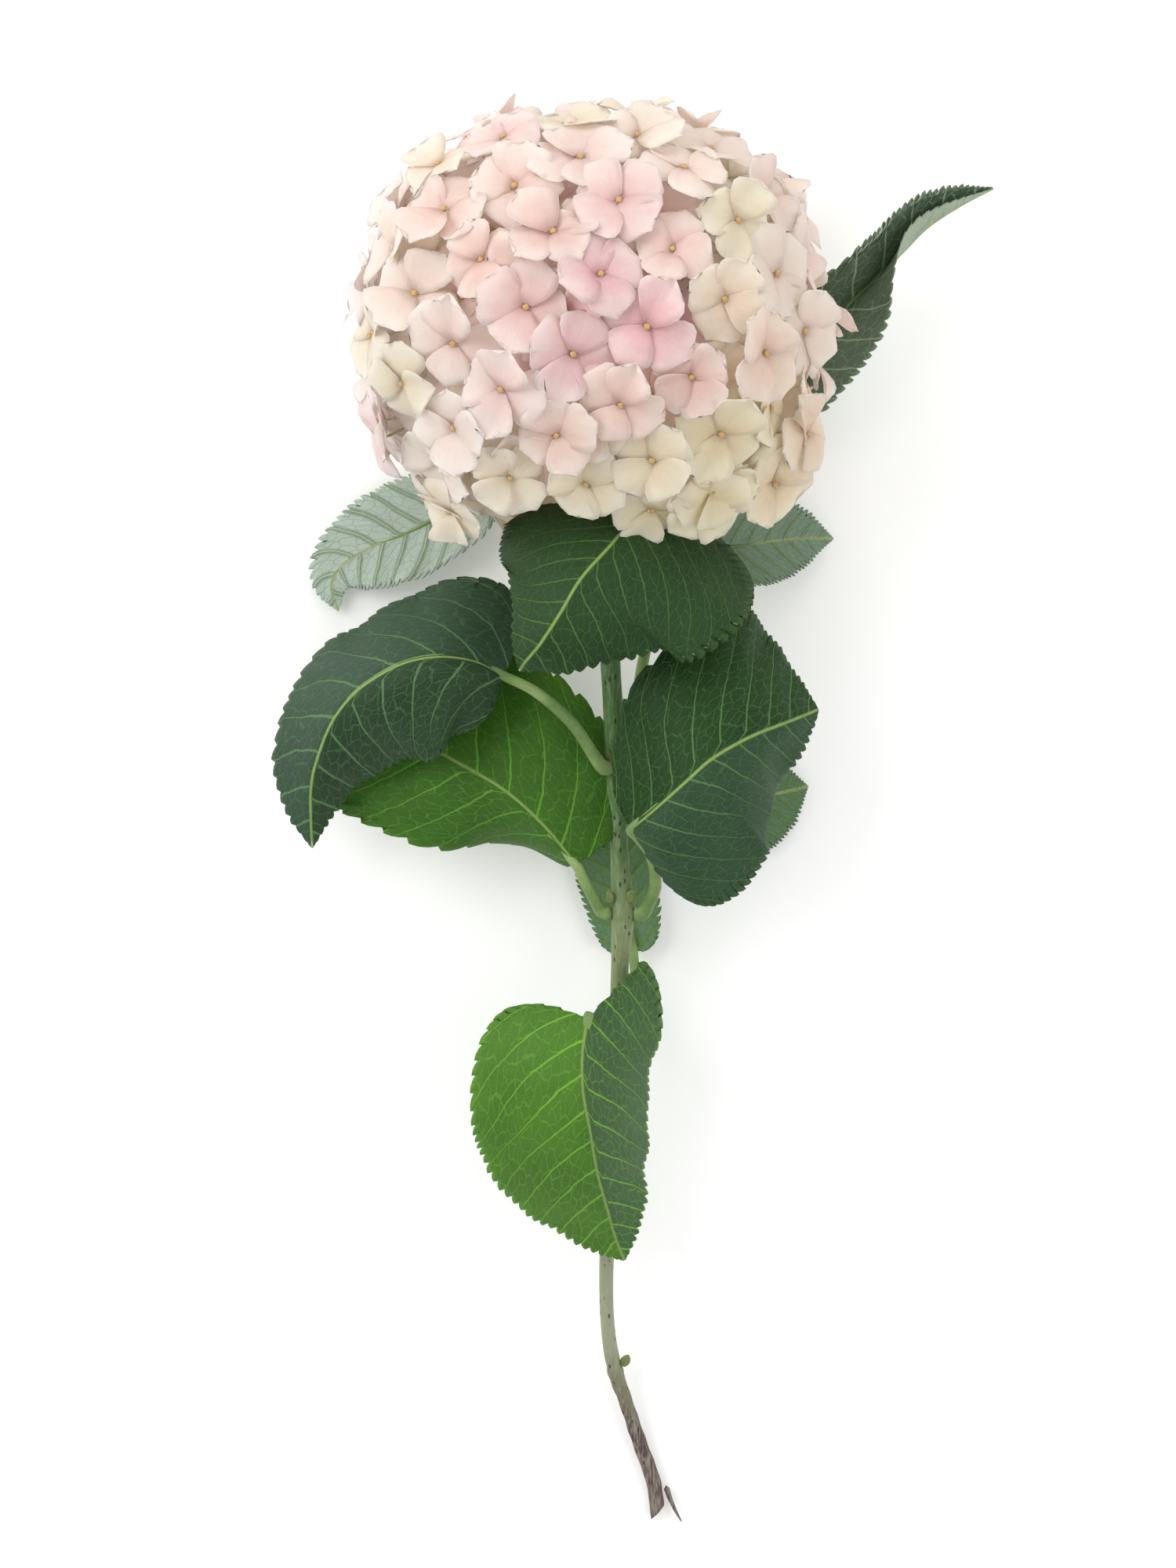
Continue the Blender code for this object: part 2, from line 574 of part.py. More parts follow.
# florets and the cymes that carry them
directions = sites()
spots = settled(directions)
for n, group in enumerate(clusters(directions, CYME_COUNT)):
    mean = sum((spots[i].place for i in group), Vector()) / len(group)
    home = min(knobs, key=lambda k: (k - mean).length)
    toward = (mean - sum((spots[i].normal for i in group), Vector()).normalized() * FORK_BACK - home).normalized()
    cyme("cyme_%02d" % (n + 1), [spots[i] for i in group], home + toward * (5.4 + GAP))

# everything moves together so that the outer box stands on its bottom centre
low = Vector((1e9, 1e9, 1e9))
high = -low
for ob in bpy.context.scene.objects:
    for v in ob.data.vertices:
        for i in range(3):
            low[i] = min(low[i], v.co[i])
            high[i] = max(high[i], v.co[i])
shift = Vector(((low.x + high.x) / 2, (low.y + high.y) / 2, low.z))
for ob in bpy.context.scene.objects:
    ob.data.transform(Matrix.Translation(-shift))
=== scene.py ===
# Looks of the cut hydrangea, one stem lying on a pale table: cane, ten leaves, rays and flower cymes.
# Lengths in the tables are millimetres from the plant's own origin, which PLANT places in the frame.
import math
import random

import bpy
from mathutils import Matrix, Vector


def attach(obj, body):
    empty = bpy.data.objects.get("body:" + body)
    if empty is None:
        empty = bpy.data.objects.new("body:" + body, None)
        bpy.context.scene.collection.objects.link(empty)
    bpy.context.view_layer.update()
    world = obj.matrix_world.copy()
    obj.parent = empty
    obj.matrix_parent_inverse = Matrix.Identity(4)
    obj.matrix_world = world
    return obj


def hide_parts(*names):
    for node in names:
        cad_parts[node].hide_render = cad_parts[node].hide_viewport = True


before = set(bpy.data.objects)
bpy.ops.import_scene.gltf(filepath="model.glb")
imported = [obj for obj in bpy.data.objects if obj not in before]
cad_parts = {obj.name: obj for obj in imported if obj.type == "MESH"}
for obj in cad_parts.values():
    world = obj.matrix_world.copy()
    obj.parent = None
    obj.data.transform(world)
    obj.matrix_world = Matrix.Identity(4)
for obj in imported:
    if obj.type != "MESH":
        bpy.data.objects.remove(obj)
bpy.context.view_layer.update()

# --- Table, light and camera --------------------------------------------------------------
# A matt white table under wide soft panels, and a camera that hangs straight above the stem.
# Nothing here belongs to the plant; the pale sky fills the shadows as a white room would.
MM = 0.001
PLANT = Vector((-22.586, 20.660, 0.0))
CAMERA_HEIGHT = 1.700
FLOOR_WIDTH = 6.0

bpy.ops.object.select_all(action="DESELECT")
bpy.ops.mesh.primitive_grid_add(x_subdivisions=8, y_subdivisions=8, size=FLOOR_WIDTH)
table = bpy.context.object
table.name = "table"
table_skin = bpy.data.materials.new("matt_white_table")
table_skin.use_nodes = True
table_shader = table_skin.node_tree.nodes["Principled BSDF"]
table_shader.inputs["Base Color"].default_value = (0.93, 0.93, 0.92, 1)
table_shader.inputs["Roughness"].default_value = 0.9
table_shader.inputs["Specular IOR Level"].default_value = 0.1
table_shader.inputs["Emission Color"].default_value = (1.0, 1.0, 1.0, 1)
table_shader.inputs["Emission Strength"].default_value = 0.22
table.data.materials.append(table_skin)

sky = bpy.data.worlds.new("soft_room")
sky.use_nodes = True
sky.node_tree.nodes["Background"].inputs["Color"].default_value = (1.0, 1.0, 1.0, 1)
sky.node_tree.nodes["Background"].inputs["Strength"].default_value = 0.62
bpy.context.scene.world = sky
bpy.context.scene.view_settings.view_transform = "Standard"

for label, place, width, watts in (("window_left", (-1.5, 0.7, 1.5), 1.5, 24),
                                   ("window_right", (1.5, -0.4, 1.6), 1.3, 10),
                                   ("panel_head", (0.2, 1.7, 1.3), 1.2, 9)):
    bpy.ops.object.light_add(type="AREA", location=place)
    lamp = bpy.context.object
    lamp.name = label
    lamp.data.shape = "SQUARE"
    lamp.data.size = width
    lamp.data.energy = watts
    lamp.rotation_euler = (-Vector(place)).to_track_quat("-Z", "Y").to_euler()

eye = bpy.data.cameras.new("eye")
eye.lens = 87.48
camera = bpy.data.objects.new("eye", eye)
camera.location = (PLANT.x * MM, PLANT.y * MM, CAMERA_HEIGHT)
bpy.context.scene.collection.objects.link(camera)
bpy.context.scene.camera = camera

# --- Cane ---------------------------------------------------------------------------------
# This year's shoot on a stub of last year's wood: green and lightly ribbed above, brown bark below,
# with a swollen ring at each pair of leaves, corky specks, and a slanted cut across wood and pith.
CANE_PATH = [(31, -324, 3.5), (29, -310, 4), (23, -293, 5.5), (17, -275, 8), (12, -260, 11),
             (9, -243, 15), (8, -221, 19), (9, -190, 25), (12, -137, 35), (14, -78, 46),
             (15, -56, 50), (13.5, -27, 55), (12.5, 5, 61), (10, 44, 68), (7.5, 88, 76),
             (6.5, 101, 78), (5, 120, 81), (3.5, 150, 86), (3.2, 159, 88)]
CANE_RADII = [3.4, 3.3, 3.2, 3.1, 3.4, 3.1, 3.1, 3.4, 3.7, 3.9, 5.0, 3.9, 4.9, 4.2, 5.0, 4.9, 3.6, 5.6, 3.0]
CANE_RINGS = 430
CANE_SIDES = 28
CUT_RINGS = ((0.0, -0.5), (0.3, -0.5), (0.36, 0.0), (0.84, 0.0), (0.9, 0.12))
CUT_SLANT = 0.8
CANE_TOP = 4


def keyed(keys, values, x):
    """Smooth interpolation through keyed values."""
    if x <= keys[0]:
        return values[0]
    for i in range(len(keys) - 1):
        if x <= keys[i + 1]:
            f = (x - keys[i]) / (keys[i + 1] - keys[i])
            v0 = values[max(i - 1, 0)]
            v3 = values[min(i + 2, len(values) - 1)]
            v1, v2 = values[i], values[i + 1]
            return (v1 + 0.5 * f * (v2 - v0 + f * (2 * v0 - 5 * v1 + 4 * v2 - v3
                    + f * (3 * (v1 - v2) + v3 - v0))))
    return values[-1]


def even(values, x):
    """Keyed values spread evenly over 0..1."""
    return keyed([i / (len(values) - 1) for i in range(len(values))], values, x)


class Spine:
    """A smooth path through points, read by arc length, with a frame at every place."""

    def __init__(self, points, up, steps=12):
        pts = [Vector(p) for p in points]
        ctrl = [pts[0] * 2 - pts[1]] + pts + [pts[-1] * 2 - pts[-2]]
        self.points = []
        for i in range(1, len(ctrl) - 2):
            p0, p1, p2, p3 = ctrl[i - 1:i + 3]
            for k in range(steps):
                f = k / steps
                self.points.append(0.5 * (2 * p1 + (p2 - p0) * f + (2 * p0 - 5 * p1 + 4 * p2 - p3) * f * f
                                          + (3 * (p1 - p2) + p3 - p0) * f ** 3))
        self.points.append(pts[-1])
        self.lengths = [0.0]
        for a, b in zip(self.points, self.points[1:]):
            self.lengths.append(self.lengths[-1] + (b - a).length)
        self.total = self.lengths[-1]
        self.up = up

    def at(self, s):
        if s <= 0:
            return self.points[0] + (self.points[1] - self.points[0]).normalized() * s
        low, high = 0, len(self.points) - 1
        if s >= self.total:
            return self.points[-1].copy()
        while high - low > 1:
            middle = (low + high) // 2
            if self.lengths[middle] <= s:
                low = middle
            else:
                high = middle
        f = (s - self.lengths[low]) / (self.lengths[high] - self.lengths[low])
        return self.points[low].lerp(self.points[high], f)

    def frame(self, s):
        """Place, direction, up and right-hand side."""
        d = self.total * 0.03
        lo = min(max(s, 0), self.total - d)
        along = (self.at(lo + d) - self.at(max(lo - d, 0))).normalized()
        up = (self.up - along * self.up.dot(along)).normalized()
        return self.at(s), along, up, along.cross(up)


def sheet(name, across, rows, place):
    """A grid primitive whose points are carried to place(u, f): u runs -1..1 across, f 0..1 along."""
    bpy.ops.object.select_all(action="DESELECT")
    bpy.ops.mesh.primitive_grid_add(x_subdivisions=across, y_subdivisions=rows, size=2)
    ob = bpy.context.object
    ob.name = name
    ob.data.name = name
    for v in ob.data.vertices:
        v.co = (place(v.co.x, (v.co.y + 1) / 2) + PLANT) * MM
    ob.data.polygons.foreach_set("use_smooth", [True] * len(ob.data.polygons))
    return ob


def close_up(ob, gap=0.00001):
    """Welds a rolled-up sheet along its seam and at its ends, and turns its faces outwards."""
    bpy.ops.object.select_all(action="DESELECT")
    bpy.context.view_layer.objects.active = ob
    ob.select_set(True)
    bpy.ops.object.mode_set(mode="EDIT")
    bpy.ops.mesh.select_all(action="SELECT")
    bpy.ops.mesh.remove_doubles(threshold=gap)
    bpy.ops.mesh.normals_make_consistent(inside=False)
    bpy.ops.object.mode_set(mode="OBJECT")


def tube(name, spine, rings, sides, radius):
    """A closed round stalk along a spine; radius(f) in millimetres, tapering shut at both ends."""
    def place(u, f):
        spot, _, up, side = spine.frame(f * spine.total)
        turn = math.pi * u
        return spot + (side * math.cos(turn) + up * math.sin(turn)) * (radius(f) if 0 < f < 1 else 0.0)
    ob = sheet(name, sides, rings, place)
    close_up(ob)
    return ob


def joined(name, parts):
    """Joins objects into one named piece."""
    bpy.ops.object.select_all(action="DESELECT")
    for ob in parts:
        ob.select_set(True)
    bpy.context.view_layer.objects.active = parts[0]
    if len(parts) > 1:
        bpy.ops.object.join()
    parts[0].name = name
    parts[0].data.name = name
    return parts[0]


class Sock:
    """A shader socket that takes arithmetic; each expression adds its Math nodes."""

    def __init__(self, skin, out):
        self.skin = skin
        self.out = out

    def math(self, operation, *values):
        return self.skin.add("ShaderNodeMath", {"operation": operation}, dict(enumerate(values)))

    def __add__(self, other):
        return self.math("ADD", self, other)

    def __sub__(self, other):
        return self.math("SUBTRACT", self, other)

    def __mul__(self, other):
        return self.math("MULTIPLY", self, other)

    def __truediv__(self, other):
        return self.math("DIVIDE", self, other)

    def __rsub__(self, other):
        return self.math("SUBTRACT", other, self)

    def __abs__(self):
        return self.math("ABSOLUTE", self)

    def fraction(self):
        return self.math("FRACT", self)

    __radd__ = __add__
    __rmul__ = __mul__


class Skin:
    """One material: its Principled shader, and short ways to add and join the nodes before it."""

    def __init__(self, name, **fixed):
        self.material = bpy.data.materials.new(name)
        self.material.use_nodes = True
        self.tree = self.material.node_tree
        self.shader = self.tree.nodes["Principled BSDF"]
        for socket, value in fixed.items():
            self.shader.inputs[socket.replace("_", " ")].default_value = value

    def add(self, kind, settings=None, inputs=None, out=0):
        node = self.tree.nodes.new(kind)
        for key, value in (settings or {}).items():
            setattr(node, key, value)
        for key, value in (inputs or {}).items():
            if isinstance(value, Sock):
                self.tree.links.new(value.out, node.inputs[key])
            else:
                node.inputs[key].default_value = value
        return Sock(self, node.outputs[out])

    def place(self, scale=(1, 1, 1)):
        """Object coordinates, stretched."""
        spot = self.add("ShaderNodeTexCoord", out="Object")
        return self.add("ShaderNodeMapping", {}, {"Vector": spot, "Scale": scale})

    def noise(self, vector, scale, detail=3.0, rough=0.55):
        return self.add("ShaderNodeTexNoise", {}, {"Vector": vector, "Scale": scale, "Detail": detail,
                                                   "Roughness": rough})

    def cells(self, vector, scale, feature="DISTANCE_TO_EDGE", out="Distance", flat=False):
        return self.add("ShaderNodeTexVoronoi", {"feature": feature,
                                                 "voronoi_dimensions": "2D" if flat else "3D"},
                        {"Vector": vector, "Scale": scale}, out)

    def smooth(self, value, low, high, to_low=0.0, to_high=1.0):
        return self.add("ShaderNodeMapRange", {"interpolation_type": "SMOOTHSTEP"},
                        {"Value": value, "From Min": low, "From Max": high, "To Min": to_low,
                         "To Max": to_high})

    def mix(self, share, a, b):
        a, b = [tuple(c) + (1,) if isinstance(c, tuple) and len(c) == 3 else c for c in (a, b)]
        return self.add("ShaderNodeMix", {"data_type": "RGBA"}, {0: share, 6: a, 7: b}, 2)

    def split(self, vector):
        node = self.tree.nodes.new("ShaderNodeSeparateXYZ")
        self.tree.links.new(vector.out, node.inputs[0])
        return [Sock(self, node.outputs[i]) for i in range(3)]

    def attribute(self, name, out="Vector"):
        return self.add("ShaderNodeAttribute", {"attribute_name": name}, {}, out)

    def give(self, socket, value):
        self.tree.links.new(value.out, self.shader.inputs[socket])

    def relief(self, height, distance, strength=1.0):
        bump = self.add("ShaderNodeBump", {}, {"Height": height, "Distance": distance,
                                               "Strength": strength})
        self.give("Normal", bump)
        return bump

    def let_light_through(self, share, colour, bump=None):
        glow = self.add("ShaderNodeBsdfTranslucent", {}, {"Color": colour + (1,)})
        if bump is not None:
            self.tree.links.new(bump.out, glow.out.node.inputs["Normal"])
        both = self.add("ShaderNodeMixShader", {}, {0: share, 1: Sock(self, self.shader.outputs[0]), 2: glow})
        self.tree.links.new(both.out, self.tree.nodes["Material Output"].inputs["Surface"])


cane_skin = Skin("green_and_brown_bark", Specular_IOR_Level=0.3)
spot = cane_skin.place()
height = cane_skin.split(spot)[1]
streaks = cane_skin.noise(cane_skin.place((1, 0.12, 1)), 900, 4)
patches = cane_skin.noise(spot, 90, 4)
wobble = height + (patches - 0.5) * 0.03
green = cane_skin.mix(cane_skin.smooth(wobble, -0.055, 0.01), (0.20, 0.25, 0.11), (0.085, 0.185, 0.05))
green = cane_skin.mix(cane_skin.smooth(wobble, -0.21, -0.09), (0.30, 0.33, 0.21), green)
green = cane_skin.mix(cane_skin.smooth(wobble, 0.08, 0.14), green, (0.16, 0.30, 0.09))
woody = cane_skin.mix(cane_skin.smooth(streaks, 0.35, 0.65), (0.085, 0.055, 0.048), (0.20, 0.155, 0.135))
olive = cane_skin.mix(cane_skin.smooth(wobble, -0.252, -0.225), (0.17, 0.155, 0.095), green)
bark = cane_skin.mix(cane_skin.smooth(wobble, -0.266, -0.250), woody, olive)
bark = cane_skin.mix(cane_skin.smooth(streaks, 0.42, 0.72) * 0.35, bark, (0.42, 0.44, 0.33))
flecks = cane_skin.cells(cane_skin.place((1, 0.42, 1)), 470, "F1")
lot = cane_skin.cells(cane_skin.place((1, 0.42, 1)), 470, "F1", "Color")
speck = cane_skin.smooth(flecks, 0.30, 0.16) * cane_skin.smooth(cane_skin.split(lot)[0], 0.62, 0.66)
bark = cane_skin.mix(speck * 0.85, bark, (0.045, 0.022, 0.022))
cane_skin.give("Base Color", bark)
cane_skin.give("Roughness", cane_skin.smooth(patches, 0.3, 0.7, 0.42, 0.66))
cane_skin.relief(streaks * 0.6 + speck * 0.8 + patches * 0.3, 0.0004, 0.7)

wood_skin = Skin("cut_wood", Roughness=0.85, Specular_IOR_Level=0.2)
grain = wood_skin.noise(wood_skin.place((1, 3, 1)), 1500, 4)
wood_skin.give("Base Color", wood_skin.mix(grain, (0.36, 0.30, 0.17), (0.66, 0.60, 0.42)))
wood_skin.relief(grain, 0.0003)

pith_skin = Skin("white_pith", Roughness=0.95, Specular_IOR_Level=0.1)
crumb = pith_skin.noise(pith_skin.place(), 2600, 3)
pith_skin.give("Base Color", pith_skin.mix(crumb, (0.52, 0.46, 0.34), (0.80, 0.77, 0.66)))
pith_skin.relief(crumb, 0.0003)

cane_spine = Spine(CANE_PATH, Vector((0, 0, 1)))
steps = [0.0]
for a, b in zip(CANE_PATH, CANE_PATH[1:]):
    steps.append(steps[-1] + (Vector(b) - Vector(a)).length)
cane_keys = [e / steps[-1] for e in steps]
joints = [cane_keys[4], cane_keys[10], cane_keys[12], cane_keys[14]]


def cane_place(u, f):
    ring = round(f * CANE_RINGS)
    turn = math.pi * u
    inner = len(CUT_RINGS)
    top = CANE_RINGS - ring
    g = max(0.0, (ring - inner) / (CANE_RINGS - inner))
    share, sink = CUT_RINGS[ring] if ring < inner else (1.0, 0.0)
    place, along, up, side = cane_spine.frame(g * cane_spine.total)
    radius = keyed(cane_keys, CANE_RADII, g)
    radius += sum(0.35 * math.exp(-((g - j) * 260) ** 2) - 0.25 * math.exp(-((g - j - 0.006) * 300) ** 2)
                  for j in joints)
    radius *= 1 + 0.018 * math.sin(5 * turn + 9 * g) + 0.012 * math.sin(11 * turn - 31 * g)
    if g < 0.13:
        radius += 0.16 * math.sin(47 * g * 6.28) * math.sin(3 * turn + 20 * g)
    if top <= CANE_TOP:
        share = (0.0, 0.55, 0.8, 0.93, 1.0)[top]
    radius *= share
    slant = CUT_SLANT * radius * math.cos(turn) * max(0.0, 1 - g * 40)
    return place + (side * math.cos(turn) + up * math.sin(turn)) * radius + along * (slant - sink)


cane = sheet("cane_body", CANE_SIDES, CANE_RINGS, cane_place)
for skin in (cane_skin, wood_skin, pith_skin):
    cane.data.materials.append(skin.material)
for face in cane.data.polygons:
    row = face.index // CANE_SIDES
    face.material_index = 2 if row < 2 else 1 if row < 4 else 0
close_up(cane)

# the strip of bark that tore away beside the cut, and the resting buds in the leaf corners
torn = tube("torn", Spine([(34.6, -312, 4.6), (36.5, -318, 4.2), (39.5, -324.5, 4.0), (42, -329, 3.6)],
                          Vector((0, 0, 1))), 12, 8, lambda f: 1.25 * (1 - f) ** 0.7 + 0.15)
torn.data.materials.append(cane_skin.material)

bud_skin = Skin("green_bud_scales", Roughness=0.5, Specular_IOR_Level=0.3)
shade = bud_skin.noise(bud_skin.place(), 420, 3)
bud_skin.give("Base Color", bud_skin.mix(shade, (0.06, 0.13, 0.03), (0.26, 0.30, 0.10)))
bud_skin.relief(shade, 0.0003)

# base, tip and half width of each bud
BUDS = [((12.2, -193.5, 25), (15.6, -186, 27), 1.9),
        ((17.0, -52, 53.5), (19.6, -45, 57), 1.6),
        ((10.2, -52, 54), (8.6, -45.5, 57.5), 1.4),
        ((16.2, 8, 64), (18.4, 14.5, 66.5), 1.5),
        ((9.4, 9, 65), (8.2, 15, 68), 1.3),
        ((17.4, -135, 37.5), (20, -129, 39), 1.6),
        ((15.2, -258, 12), (18.0, -252.5, 13.5), 1.5)]
BUD_SCALE_TURN = 0.35
buds = []
for base, tip, width in BUDS:
    for turn in (-BUD_SCALE_TURN, BUD_SCALE_TURN):
        axis = Vector(tip) - Vector(base)
        side = axis.cross(Vector((0, 0, 1))).normalized() * turn * width
        curve = Spine([Vector(base), Vector(base).lerp(Vector(tip), 0.5) + side * 1.4, Vector(tip)],
                      Vector((0.1, 0, 1)))
        scale = tube("bud", curve, 8, 8,
                     lambda f, w=width: w * math.sin(math.pi * min(1, 0.12 + f * 0.88)) ** 0.8)
        scale.data.materials.append(bud_skin.material)
        buds.append(scale)
cane = joined("cane", [cane, torn] + buds)
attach(cane, "root")
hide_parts("stem")

# --- Leaves -------------------------------------------------------------------------------
# Broad saw-edged blades on round stalks, in pairs up the cane; the thin blade is quilted between
# its side veins, with a pale midrib let into it, and the rear ones show their pale undersides.
LEAF_T = [0, 0.03, 0.08, 0.15, 0.24, 0.34, 0.45, 0.56, 0.68, 0.8, 0.91, 1.0]
LEAF_S = [0, -0.02, 0.0, 0.06, 0.18, 0.32, 0.47, 0.61, 0.74, 0.86, 0.945, 1.0]
LEAF_H = [0.03, 0.36, 0.68, 0.87, 0.98, 1.0, 0.92, 0.77, 0.56, 0.32, 0.13, 0.012]
LEAF_ROWS = 152
LEAF_COLUMNS = 28
BLADE_THICK = 0.4
REST_HEIGHT = 1.0
TOOTH = (0.0, 0.55, 0.9, 1.0)
TOOTH_REACH = 2.3
TOOTH_LEAN = (0.0, 0.3, 0.75, 1.3)
QUILT = 0.75
SIDE_VEINS = 8.5
STALK_RADII = (3.0, 2.1)

